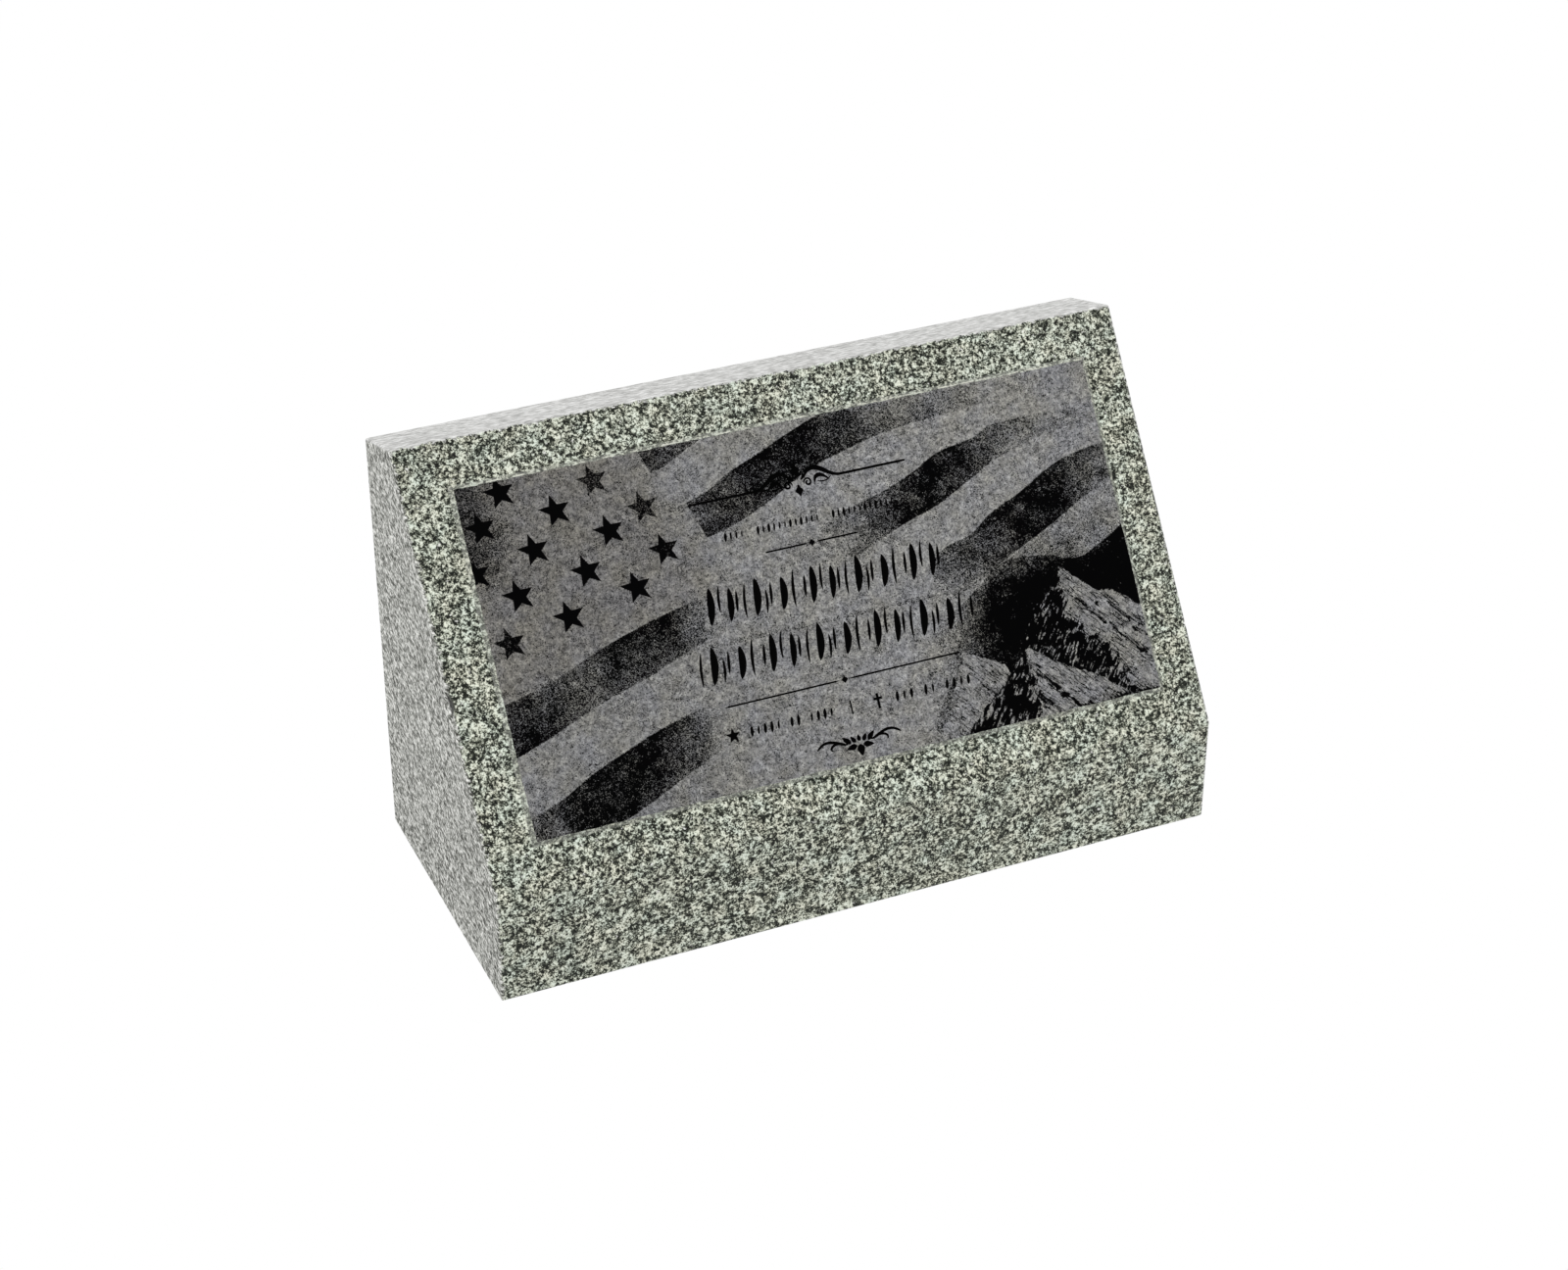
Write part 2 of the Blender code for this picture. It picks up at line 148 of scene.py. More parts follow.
# Ornaments in hundredths of the panel face's height: x, y and half width along each cut
ARM = (
    (34.1, 0, 0), (33, 0, 0.2), (24, 0, 0.24), (15, 0, 0.26), (12.4, 0.1, 0.3), (10.4, 0.9, 0.4),
    (8.6, 2.1, 0.55), (6.8, 3.1, 0.6), (5.2, 3.4, 0.55), (3.7, 2.9, 0.4), (2.6, 1.9, 0.24), (2.2, 0.9, 0),
)
SCROLL = {"middle": (3.1, -0.4), "radius": 1.35, "turns": 1.4, "start": -20, "close": 0.8}
SCROLL_WIDTH, SCROLL_POWER, SCROLL_STEPS = 0.19, 0.4, 18
CREST_LEAF = ((9.8, -0.9, 0), (8.4, 0.4, 0.28), (7, 1, 0.5), (5.7, 0.6, 0.42), (5, -1.2, 0))
CREST_TENDRIL = ((10.6, 0.2, 0), (9.2, -0.8, 0.06), (7.4, -1, 0.1), (6, -0.6, 0))
INNER_LEAF = ((1, 0.5, 0), (1.9, 1.4, 0.34), (2.1, 2.6, 0))
UPPER_LOZENGE = ((0, 1.5, 0), (0, 2.5, 0.45), (0, 3.6, 1.3), (0, 4.7, 0.45), (0, 5.9, 0))
LOWER_LOZENGE = ((0, -0.4, 0), (0, -1.3, 0.35), (0, -2.4, 1.15), (0, -3.3, 0.4), (0, -4.2, 0))
UPRIGHT_LEAVES = (((0, 0.35), (0, 2.4), 0.5), ((0, -0.4), (0, -4), 1.1))
PAIRED_LEAVES = (
    ((0.9, -0.7), (4.3, -1.2), 0.75), ((1.1, 0.2), (2.5, 2.2), 0.55), ((2.6, 0.1), (5.1, 2.5), 0.65),
)
LEAF_SWELL = ((0, 0), (0.2, 0.75), (0.4, 1), (0.7, 0.6), (1, 0))
STEM = (
    (3.6, 0.1, 0), (5, 0.5, 0.26), (7, 1.35, 0.3), (9.2, 1.95, 0.3), (11, 1.75, 0.26), (12.4, 1, 0.2),
    (13.3, 0.3, 0),
)
CURL = ((6.2, 0.7, 0), (7.4, 0.9, 0.2), (8.5, 0.5, 0.24), (8.9, -0.2, 0.18), (8.6, -0.9, 0))

# Picture on the panel, in hundredths of its face's height from its lower left corner
PICTURE_EDGE = 0.25
STARS = (
    (12.6, 96.6, 1.3), (39.7, 94.7, 0.8), (5.1, 87.9, 1.3), (27.2, 88.5, 1.3), (52.4, 84.4, 0.85),
    (18.6, 79, 1.3), (41.2, 79.9, 1.15), (0.6, 75.6, 1.3), (55.8, 71.5, 1), (11.3, 67.4, 1.3),
    (32.1, 70.2, 1.2), (45.2, 62.7, 1.2), (24.1, 58.7, 1.3), (5.8, 54.9, 0.95),
)
STAR_RADIUS = 4.85
STAR_WAIST = 0.43
STAR_TILT = math.radians(3)
STAR_SHEAR = 0.12
STAR_EDGE = 0.1
FIELD_STRIPE = 5  # the stripe that runs under the star field
FIELD_LEAN = 0.34  # how far the star field's edge leans to the left for each step up
VALLEY = ((147, 42.5), (158, 47.5), (174, 54.2), (182, 58), (196, 63.8))  # between two stripes
# Each stripe: its edges, and how dark it is at its upper and lower edge
STRIPES = (
    {
        "upper": ((55, 101), (80, 101)),
        "lower": ((57, 93.3), (62, 94.7), (68, 97.4), (76, 100.8)),
        "shade": ((55, 0.66, 0.62), (66, 0.52, 0.5), (76, 0.4, 0.4)),
        "start": (57, 93.3),
    },
    {
        "upper": ((65, 83), (72, 85), (80, 89), (90, 92.6), (100, 96.5), (112, 100.6)),
        "lower": (
            (69, 72), (80, 74.8), (90, 78.6), (104, 85), (118, 88.8), (132, 91.3), (150, 92.6),
            (160, 93.6),
        ),
        "shade": (
            (66, 0.52, 0.52), (76, 0.64, 0.58), (85, 0.84, 0.64), (97, 0.84, 0.8), (110, 0.68, 0.84),
            (120, 0.46, 0.66), (134, 0.28, 0.42), (150, 0.22, 0.3), (161, 0, 0),
        ),
        "start": (69, 72),
    },
    {
        "upper": (
            (100, 67), (112, 71.4), (125, 74.5), (135, 78), (145, 82.3), (156, 84.2), (164, 87),
            (180, 87),
        ),
        "lower": (
            (100, 54), (115, 58.8), (128, 63.6), (140, 67), (152, 72.2), (163, 77), (178, 80.5),
            (196, 82.2),
        ),
        "shade": (
            (98, 0, 0), (112, 0.3, 0.26), (121, 0.52, 0.46), (130, 0.68, 0.74), (137, 0.84, 0.82),
            (150, 0.86, 0.72), (157, 0.6, 0.5), (172, 0.34, 0.2), (196, 0.1, 0.08),
        ),
    },
    {
        "upper": (
            (134, 51), (141, 55), (147, 56.2), (156, 61.3), (167, 65.7), (178, 71), (187, 73.6),
            (196, 74.6),
        ),
        "lower": ((134, 38), *VALLEY),
        "shade": (
            (133, 0, 0), (141, 0.62, 0.3), (150, 0.62, 0.54), (158, 0.78, 0.62), (177, 0.84, 0.84),
            (185, 0.62, 0.56), (196, 0.42, 0.36),
        ),
    },
    {
        "upper": VALLEY,
        "lower": ((147, 41), (158, 45), (171, 44.6), (179, 42.5), (188, 45.2), (196, 49.4)),
        "shade": (
            (147, 0.1, 0.3), (160, 0.14, 0.44), (174, 0.2, 0.44), (186, 0.14, 0.3), (196, 0.1, 0.2),
        ),
    },
    {
        "upper": ((0, 38.8), (10, 41), (17, 42.9), (30, 47.7), (41, 51), (53, 53.9), (67, 56.6)),
        "lower": ((0, 23.7), (15, 28.6), (28, 33.3), (41, 36.9), (53, 41), (67, 44.8)),
        "shade": (
            (0, 0.6, 0.84), (8, 0.5, 0.9), (14, 0.42, 0.72), (23, 0.38, 0.5), (29, 0.6, 0.46),
            (37, 0.86, 0.52), (47, 0.84, 0.6), (56, 0.56, 0.44), (67, 0, 0),
        ),
    },
    {
        "upper": ((0, 6.7), (10, 9.8), (19, 14.1), (32, 18.9), (46, 23.3), (60, 26)),
        "lower": ((0, -9), (15, -5), (27, 0), (38, 4.2), (50, 9.3), (60, 13)),
        "shade": (
            (0, 0.36, 0.3), (8, 0.5, 0.5), (15, 0.78, 0.8), (25, 0.84, 0.84), (39, 0.88, 0.66),
            (47, 0.72, 0.58), (60, 0, 0),
        ),
    },
)
# The dark sky behind the peaks, which fades out to the left
SKY = {
    "upper": (
        (124, 29), (138, 36), (147, 41.2), (158, 46.8), (171, 45.8), (179, 43.2), (188, 45.8),
        (196, 49.8),
    ),
    "lower": ((124, 18), (138, 24), (147, 31), (158, 34), (171, 35), (196, 38)),
    "shade": (
        (124, 0, 0), (134, 0.22, 0.26), (142, 0.42, 0.62), (150, 0.6, 1), (158, 0.66, 1.2),
        (171, 0.72, 1.2), (180, 1, 1.2), (196, 0.96, 1.2),
    ),
}
# Peaks from the farthest to the nearest: skyline, the line between dark and lit side, and
# how dark the dark side is
PEAKS = (
    {
        "skyline": (
            (155, 0), (158.1, 26.2), (163.3, 32.9), (167, 35.1), (171.2, 36.4), (173.1, 41.9),
            (176.5, 38.8), (183.9, 32.1), (188.3, 31.8), (196, 25.5),
        ),
        "ridge": (
            (0, 190), (6, 186), (11.5, 184.6), (16.7, 181.7), (22.6, 176), (29.2, 172.4), (42, 173),
        ),
        "depth": 1,
    },
    {
        "skyline": (
            (118, 0), (126, 9), (133, 17.4), (137.4, 22.9), (140.4, 22.2), (149.2, 17.4), (156, 0),
        ),
        "ridge": ((0, 121), (12, 131), (23, 137.5)),
        "depth": 0.62,
    },
    {
        "skyline": (
            (133, 0), (138.9, 5.6), (147.8, 11.9), (157.4, 20.8), (164.7, 15.2), (178, 7.8), (188, 0),
        ),
        "ridge": ((0, 156.6), (7, 157), (15, 156.8), (21, 157.4)),
        "depth": 1,
    },
)
# Dark ravines on the peaks: x, y and half width
RAVINES = (
    ((157.4, 14.5, -1), (158.6, 12.9, 0.4), (161.8, 9.6, 0.75), (166.2, 4.4, 0.85), (170.5, -0.5, 0.8)),
    ((156, 8.5, -1), (158.2, 6.2, 0.9), (161, 3, 0.5), (164, -0.5, 0.1)),
    ((122, 1.5, -1), (124.6, 3.8, 0.5), (128.6, 7.4, 1), (132.3, 11.5, 0.8), (136, 17, -1)),
    ((137, 17.4, -1), (139.5, 14.8, 0.1), (144, 10.4, 0.4), (147, 8, -1)),
    ((172.5, 34.6, -1), (175, 32.4, 0.1), (180.2, 27.4, 0.3), (186.1, 20.2, 0.3), (193, 12, 0.1)),
    ((180, 31, -1), (183, 28.6, 0), (188, 23, 0.2), (196, 16, 0.1)),
)
PEAK_RAGGED = 3.2
RIDGE_RAGGED = (0.0, 12.0, 2.0, 13.0)  # two depths below the skyline, then how ragged it is at each
RIDGE_BLUR = 0.6
RAVINE_RAGGED = 5.5
RAVINE_SLOPE = 0.7
RAVINE_BLUR = 0.4
RAVINE_DARK = (0.5, 1.1)
PEAK_FADE = (120, 137)
RAVINE_FADE = (130, 156)

# Nick in the left arris, and the smaller ones that every arris has
NICK_PLACE = 0.426
NICK_SIZE = (0.003, 0.013, 0.011)  # half extents: into the slant, along it and down the side
NICK_WAVES = 7
NICK_WAVE_PITCH = 4.8
NICK_UNEVEN = 0.05
CHIP_COUNT = 70
CHIP_SEED = 11
CHIP_RADIUS = (0.0009, 0.0017)
CHIP_STRETCH = 2.6

# Texture map: its size and the gap round each face in pixels, and the pixels per metre of each face
MAP_SIZE = 1024
MAP_GAP = 4.0
MAP_SCALE = {"front": 1538.0, "top": 1085.0, "side": 870.0, "back": 715.0, "under": 400.0}
FLAT_MATCH = 0.999  # how near a face's normal comes to a flat side's

# Looks. A noise has its scale, detail and roughness, and patches add two bounds and two values.
# Polished granite: its grains by size and weight, its noises with their weight, and its colours
GRANITE_GRAINS = ((0.0024, 0.16), (0.0012, 0.22))
GRANITE_NOISES = (
    (330.0, 4.0, 0.75, 1.25), (900.0, 1.0, 0.5, 0.6), (165.0, 1.0, 0.5, 0.32), (80.0, 2.0, 0.5, 0.19),
)
GRANITE_LEVEL = -0.886
GRANITE_TONES = (
    (0.32, (16, 19, 14)), (0.41, (50, 53, 46)), (0.475, (100, 102, 93)), (0.53, (145, 147, 136)),
    (0.60, (184, 186, 175)), (0.70, (216, 218, 209)),
)
HUE_NOISE = (46.0, 3.0, 0.65)
GRANITE_HUES = ((0.36, (247, 255, 252)), (0.5, (252, 255, 249)), (0.64, (255, 254, 246)))
POLISHED_ROUGHNESS = 0.22
GRANITE_GLOSS = 0.15

# Sawn faces: streaks along a lean on the sides, level ones on the top
SAWN_LEAN = math.radians(23)
SAWN_STRETCH = 0.45
SAWN_NOISE = (520.0, 3.0, 0.62)
SAWN_GRAIN = 0.0010
SAWN_GRAIN_WEIGHT = 0.18
SAWN_PAINTED_SHADE = 0.04  # painted shade: the sides grow paler with each metre of height, so darker towards the foot
SAWN_LEVEL = -0.099
SIDE_TONES = (
    (0.345, (52, 52, 47)), (0.44, (104, 105, 100)), (0.50, (144, 145, 140)), (0.56, (185, 186, 181)),
    (0.655, (224, 224, 220)),
)
HEAD_STRETCH = (0.35, 1.0, 1.0)
HEAD_NOISE = (380.0, 3.0, 0.6)
HEAD_TONES = ((0.34, (147, 147, 145)), (0.5, (185, 185, 183)), (0.66, (217, 217, 216)))
HEAD_SKIN = (0.0006, 0.0024)  # how deep under the top its look fades out
SAWN_ROUGHNESS = 0.75

# Where the polish stops: under the polished faces, and short of the arrises
EDGE_NOISE = (230.0, 3.0, 0.65)
POLISH_SKIN = {"bounds": (0.3, 0.7), "depths": (-0.001, 0.005), "blur": 0.0012}
ARRIS_WEAR = {"bounds": (0.42, 0.72), "depths": (0.0, 0.004), "blur": 0.0008}

# Painted shadow beside the nick, a dark line: how far past its edge, and between which shares of its half
# length
NICK_SHADOW = {
    "near": (-0.0012, -0.0004),
    "far": (0.00066, 0.00165),
    "foot": (-0.35, 0.0),
    "head": (0.75, 1.0),
    "strength": 0.9,
}
NICK_SHADOW_COLOUR = (0.012, 0.013, 0.011, 1.0)

# Rim: rubbed granite, with a painted highlight along its head: a broken pale line
RUBBED_NOISE = (300.0, 3.0, 0.65)
RUBBED_TONES = (
    (0.36, (92, 94, 87)), (0.46, (124, 126, 119)), (0.54, (144, 146, 138)), (0.64, (170, 172, 164)),
)
RUBBED_SHARE = 0.38
HIGHLIGHT_LINE = (0.0002, 0.0008)
HIGHLIGHT_BREAKS = ((120.0, 4.0, 0.7), (0.47, 0.6), (0.0, 0.85))
HIGHLIGHT_COLOUR = (0.60, 0.60, 0.53, 1.0)
RIM_ROUGHNESS = 0.5
RIM_GLOSS = 0.3

# Panel: etched stone, dimmer to the left and browner in the star field
PANEL_NOISES = ((210.0, 3.0, 0.65), (760.0, 2.0, 0.6))
PANEL_TONES = (
    (0.37, (80, 80, 80)), (0.45, (111, 111, 110)), (0.50, (125, 125, 124)), (0.56, (141, 141, 139)),
    (0.65, (169, 169, 166)),
)
PANEL_HUE_NOISE = (36.0, 3.0, 0.6)
PANEL_HUES = ((0.36, (255, 253, 247)), (0.64, (247, 248, 255)))
LEFT_DIM = (30.0, 125.0)
LEFT_TONE = (0.87, 0.87, 0.87, 1.0)
FIELD_TONE = (0.80, 0.78, 0.757, 1.0)
FIELD_SPREAD = 0.35  # how much wider the field's side edge fades than its foot
FIELD_BLUR = 4.0
PANEL_ROUGHNESS = 0.5

# Dots of the picture: their size, how they clump, how a shade spreads them and veils the stone
DOT_SIZE = 0.00055
CLUMP_NOISE = (420.0, 2.0, 0.6)
CLUMP_WEIGHT = 0.7
DOT_SPREAD = 1.01
DOT_BLUR = 0.09
DOT_VEIL = (0.15, 1.0, 1.0, 0.46)
INK = (0.0016, 0.0016, 0.0017, 1.0)
PAINT_COLOUR = (0.0015, 0.0015, 0.0015, 1.0)
PAINT_ROUGHNESS = 0.9

# Unevenness of the picture: the stripes' mottling and specks, and the darker upper left corner
MOTTLE = ((75.0, 4.0, 0.65), (0.3, 0.7), (0.72, 1.22))
SPECKS = ((60.0, 3.0, 0.6), (0.4, 0.75), (0.05, 0.3))
CORNER = {"across": (20.0, 0.0), "up": (64.0, 80.0), "dark": 0.55}

# Strokes on the peaks: the angle, pitch and length of each kind, and the shades they give
FALLING = (-44, 2.2, 6.0)
RISING = (54, 0.85, 3.6)
SCORES = (-50, 0.7, 8.0)
HATCH_NOISE = (2.0, 0.6, 0.35)  # detail, roughness and distortion
PEAK_NOISE = (130.0, 4.0, 0.7)
FLECKS = ((85.0, 3.0, 0.6), (0.38, 0.62), (-0.13, 0.02))
LIT_CREASES = (0.0, 0.024, 0.95, 0.0)
LIT_SCORES = (0.74, 0.53, 0.08, 0.8)
DARK_STROKES = (0.46, 0.6, 1.25, 0.22)

# Surround, lamp and floor
WHITE = (1.0, 1.0, 1.0, 1.0)
BLACK = (0.0, 0.0, 0.0, 1.0)
LAMP_ENERGY = 1.0
LAMP_ANGLE = math.radians(40)
LAMP_WAY = (0.45, 0.25, -1.0)
FLOOR_REACH = 40.0
FLOOR_DROP = 0.0005  # keeps the floor clear of the stone's underside
FLOOR_ROUGHNESS = 0.5

# Camera, fitted to the block's corners
CAMERA_PLACE = (-0.8855, -1.9846, 1.5188)
CAMERA_AIM = (-0.0131, 0.0, 0.1799)
CAMERA_ROLL = math.radians(-0.07)
CAMERA_LENS = 73.84

GRANITE, RIM, PANEL, PAINT = range(4)


def object_from(name, bm, materials):
    """Close a bmesh into a named object that carries the given materials."""
    bmesh.ops.recalc_face_normals(bm, faces=bm.faces[:])
    mesh = bpy.data.meshes.new(name)
    bm.to_mesh(mesh)
    bm.free()
    for item in materials:
        mesh.materials.append(item)
    made = bpy.data.objects.new(name, mesh)
    bpy.context.scene.collection.objects.link(made)
    return made


def ring_points(left, right, foot, head):
    """Points round a rectangle, from its lower left, and the numbers of its corners."""
    corners = ((left, foot), (right, foot), (right, head), (left, head))
    points, marks = [], [0]
    for i in range(4):
        start, end = Vector(corners[i]), Vector(corners[(i + 1) % 4])
        steps = round((end - start).length / RIM_STEP)
        points += [tuple(start.lerp(end, k / steps)) for k in range(steps)]
        marks.append(len(points))
    return points, marks


def add_block(materials):
    """The stone: a five-sided prism whose slant carries the raised panel."""
    bm = bmesh.new()
    left, right = ([bm.verts.new((x, y, z)) for y, z in PROFILE] for x in (-WIDTH / 2, WIDTH / 2))
    bm.faces.new(left)
    bm.faces.new(right)
    for i in range(len(PROFILE)):
        j = (i + 1) % len(PROFILE)
        if i != SLANT_CORNER:
            bm.faces.new((left[i], left[j], right[j], right[i]))

    # The rim's foot and its upper edge waver a little, as a hand-finished edge does.
    draw = random.Random(RIM_SEED)
    outline, marks = ring_points(PANEL_LEFT, PANEL_RIGHT, PANEL_FOOT, PANEL_HEAD)
    middle = ((PANEL_LEFT + PANEL_RIGHT) / 2, PANEL_MIDDLE)
    reach = ((PANEL_RIGHT - PANEL_LEFT) / 2, (PANEL_HEAD - PANEL_FOOT) / 2)
    rings = []
    for run, rise in RIM_RINGS:
        ring = []
        for point in outline:
            place = []
            for i in range(2):
                shrunk = middle[i] + (point[i] - middle[i]) * (1 - run * PANEL_BEVEL / reach[i])
                place.append(shrunk + draw.uniform(-1, 1) * RIM_WAVER)
            ring.append(bm.verts.new(SLANT_FRAME @ Vector((*place, rise * PANEL_RISE))))
        rings.append(ring)
    low, high = SLANT_CORNER, SLANT_CORNER + 1
    outer = [left[low], right[low], right[high], left[high]]
    for lower, upper in zip(rings, rings[1:]):
        for i in range(len(lower)):
            j = (i + 1) % len(lower)
            bm.faces.new((lower[i], lower[j], upper[j], upper[i])).material_index = RIM
    bm.faces.new(rings[-1]).material_index = PANEL

    # Four flat faces join the slant's corners to the rim's foot.
    foot = rings[0]
    for i in range(4):
        side = [foot[k % len(foot)] for k in range(marks[i], marks[i + 1] + 1)]
        bm.faces.new([outer[i], outer[(i + 1) % 4]] + side[::-1])

    weight = bm.edges.layers.float.new("bevel_weight_edge")
    outline_verts = set(left + right)
    for edge in bm.edges:
        if set(edge.verts) <= outline_verts:
            is_nose = set(edge.verts) == {left[low], right[low]}
            edge[weight] = 1.0 if is_nose else ARRIS_EASE / NOSE_EASE
    block = object_from("carved_stone", bm, materials)
    ease = block.modifiers.new("eased_edges", "BEVEL")
    ease.width = NOSE_EASE
    ease.limit_method = "WEIGHT"
    ease.segments = EASE_STEPS
    return block


def smoothed(stations, per_span):
    """More stations on a smooth curve through the given ones, each x, y and half width."""
    points = [Vector(station) for station in stations]
    points = [2 * points[0] - points[1]] + points + [2 * points[-1] - points[-2]]
    dense = []
    for i in range(1, len(points) - 2):
        a, b, c, d = points[i - 1 : i + 3]
        for k in range(per_span):
            t = k / per_span
            dense.append(
                0.5 * (2 * b + (c - a) * t + (2 * a - 5 * b + 4 * c - d) * t**2)
                + 0.5 * (3 * b - a - 3 * c + d) * t**3
            )
    dense.append(points[-2])
    return dense


def add_groove(bm, stations, depth):
    """A V-shaped cut through stations of x, y and half width, in metres on the panel."""
    inner = stations[1:-1]
    widest = max(station.z for station in inner)
    first = stations[0] + (stations[0] - stations[1]) * CUT_LIFT
    last = stations[-1] + (stations[-1] - stations[-2]) * CUT_LIFT
    lift = depth * CUT_LIFT
    tips = [bm.verts.new((p.x, p.y, lift)) for p in (first, last)]
    rows = []
    for i, station in enumerate(inner, start=1):
        along = (stations[i + 1] - stations[i - 1]).to_2d().normalized()
        half = max(station.z, widest * LEAST_WIDTH)
        low = max(depth * (half / widest) ** DEPTH_POWER, LEAST_DEPTH)
        aside = Vector((-along.y, along.x, 0.0)) * half * (1 + lift / low)
        middle = Vector((station.x, station.y, 0.0))
        up = Vector((0, 0, lift))
        section = (middle + aside + up, middle - Vector((0, 0, low)), middle - aside + up)
        rows.append([bm.verts.new(place) for place in section])
    for tip, row in ((tips[0], rows[0]), (tips[1], rows[-1])):
        for i in range(3):
            bm.faces.new((tip, row[i], row[(i + 1) % 3]))
    for row, ahead in zip(rows, rows[1:]):
        for i in range(3):
            j = (i + 1) % 3
            bm.faces.new((row[i], row[j], ahead[j], ahead[i]))


def add_star(bm, x, y, radius):
    """A five-pointed star, deepest at its middle."""
    points = []
    for i in range(2 * STAR_POINTS):
        reach = radius * (STAR["waist"] if i % 2 else 1.0) * (1 + CUT_LIFT)
        angle = math.pi / 2 + i * math.pi / STAR_POINTS
        place = (x + reach * math.cos(angle), y + reach * math.sin(angle), FINE_DEPTH * CUT_LIFT)
        points.append(bm.verts.new(place))
    low = bm.verts.new((x, y, -FINE_DEPTH))
    for i in range(len(points)):
        bm.faces.new((points[i], points[(i + 1) % len(points)], low))
    bm.faces.new(points)


def add_cross(bm, x, y, size, span, bar):
    """A Latin cross with a flat floor."""
    half = bar / 2
    foot, head = y - size / 2, y + size / 2
    arm = foot + size * CROSS["arm_height"]
    widths = (half, half, span / 2, span / 2, half, half)
    heights = (foot, arm - half, arm - half, arm + half, arm + half, head)
    outline = [*zip(widths, heights)]
    outline += [(-px, py) for px, py in reversed(outline)]
    levels = (FINE_DEPTH * CUT_LIFT, -FINE_DEPTH)
    upper, lower = ([bm.verts.new((x + px, py, z)) for px, py in outline] for z in levels)
    bm.faces.new(upper)
    bm.faces.new(lower)
    for i in range(len(outline)):
        j = (i + 1) % len(outline)
        bm.faces.new((upper[i], upper[j], lower[j], lower[i]))


def add_stroke(bm, x, y, size, half_width, bow, depth, steps):
    """One leaning stroke, pointed at both ends and bowed a little sideways."""
    stations = []
    for i in range(steps + 1):
        along = i / steps
        off = (along - 0.5) * size
        swell = math.sin(math.pi * along)
        half = (half_width + PAINT_SPREAD) * max(swell, 0.0) ** SWELL_POWER
        stations.append(Vector((x + off * math.tan(STROKE_LEAN) + bow * swell, y + off, half)))
    add_groove(bm, stations, depth)


def on_panel(x, y):
    """A place on the panel in metres, from shares of its face's height."""
    return (LETTERING_SHIFT + x) * FACE_HEIGHT, y * FACE_HEIGHT


def add_name_row(bm, row):
    """A row of large strokes in groups of two or three, thick and thin by turns."""
    left, right = row["ends"]
    pitch = (right - left) / row["groups"]
    full = row["size"] * FACE_HEIGHT
    for group in range(row["groups"]):
        middle = left + pitch * (group + 0.5)
        strokes = RHYTHMS[(group + row["first"]) % len(RHYTHMS)]
        for order, (place, half_width, share, bow) in enumerate(strokes):
            size = full * share
            drop = (full - size) / 2 * (1 if order % 2 else -1)
            x, y = on_panel(middle + place * pitch, row["height"])
            half_width, bow = half_width * full, bow * full
            add_stroke(bm, x, y + drop, size, half_width, bow, STROKE_DEPTH, STROKE_STEPS)
        x, y = on_panel(middle + HAIRLINE["place"] * pitch, row["height"])
        size, half_width = full * HAIRLINE["share"], full * HAIRLINE["width"]
        add_stroke(bm, x, y, size, half_width, 0.0, FINE_DEPTH, FINE_STEPS)


def add_small_row(bm, row):
    """A row of small strokes, one for each sign, in groups set a space apart."""
    left, right = row["ends"]
    places = sum(row["groups"]) + len(row["groups"]) - 1
    pitch = (right - left) / places
    full = row["size"] * FACE_HEIGHT
    place = count = 0
    for signs in row["groups"]:
        for _ in range(signs):
            half_width, share = SMALL_RHYTHM[count % len(SMALL_RHYTHM)]
            x, y = on_panel(left + pitch * (place + 0.5), row["height"])
            size, half_width = full * share, full * half_width
            add_stroke(bm, x, y, size, half_width, 0.0, FINE_DEPTH, FINE_STEPS)
            if pitch > row["size"]:
                x += COMPANION["aside"] * pitch * FACE_HEIGHT
                size, half_width = size * COMPANION["share"], half_width * COMPANION["width"]
                add_stroke(bm, x, y, size, half_width, 0.0, FINE_DEPTH, FINE_STEPS)
            place += 1
            count += 1
        place += 1


def add_line(bm, start, end):
    """A straight cut of even width, pointed over its first and last bit."""
    start, end = Vector(start), Vector(end)
    half = RULE_WIDTH / 2
    shares = ((0.0, 0.0), (LINE_TAPER, half), (0.5, half), (1 - LINE_TAPER, half), (1.0, 0.0))
    stations = [Vector((*start.lerp(end, share), width)) for share, width in shares]
    add_groove(bm, stations, FINE_DEPTH)


def add_rule(bm, rule):
    """A thin rule with a lozenge in its middle."""
    x, y = on_panel(0.0, rule["height"])
    for side in (-1, 1):
        near, far = (side * share * FACE_HEIGHT for share in (LOZENGE["gap"], rule["reach"]))
        add_line(bm, (x + near, y), (x + far, y))
    half = LOZENGE["half"] * FACE_HEIGHT
    add_groove(bm, [Vector((x, y + half * k, half * (1 - abs(k)))) for k in (-1, 0, 1)], FINE_DEPTH)


def add_drawn(bm, stations, height, side, depth, per_span=4):
    """A cut drawn in modules beside the middle of an ornament; side -1 mirrors it."""
    x, y = on_panel(0.0, height)
    path = [
        Vector((x + side * p.x * MODULE, y + p.y * MODULE, p.z * MODULE + PAINT_SPREAD))
        for p in smoothed(stations, per_span)
    ]
    add_groove(bm, path, depth)


def scroll_stations():
    """A scroll that winds inwards from the crest's arm."""
    x, y = SCROLL["middle"]
    stations = []
    for i in range(SCROLL_STEPS + 1):
        along = i / SCROLL_STEPS
        angle = math.radians(SCROLL["start"] + 360 * SCROLL["turns"] * along)
        reach = SCROLL["radius"] * (1 - SCROLL["close"] * along)
        is_end = i in (0, SCROLL_STEPS)
        half = 0.0 if is_end else SCROLL_WIDTH * math.sin(math.pi * along) ** SCROLL_POWER
        stations.append((x - reach * math.cos(angle), y + reach * math.sin(angle), half))
    return stations


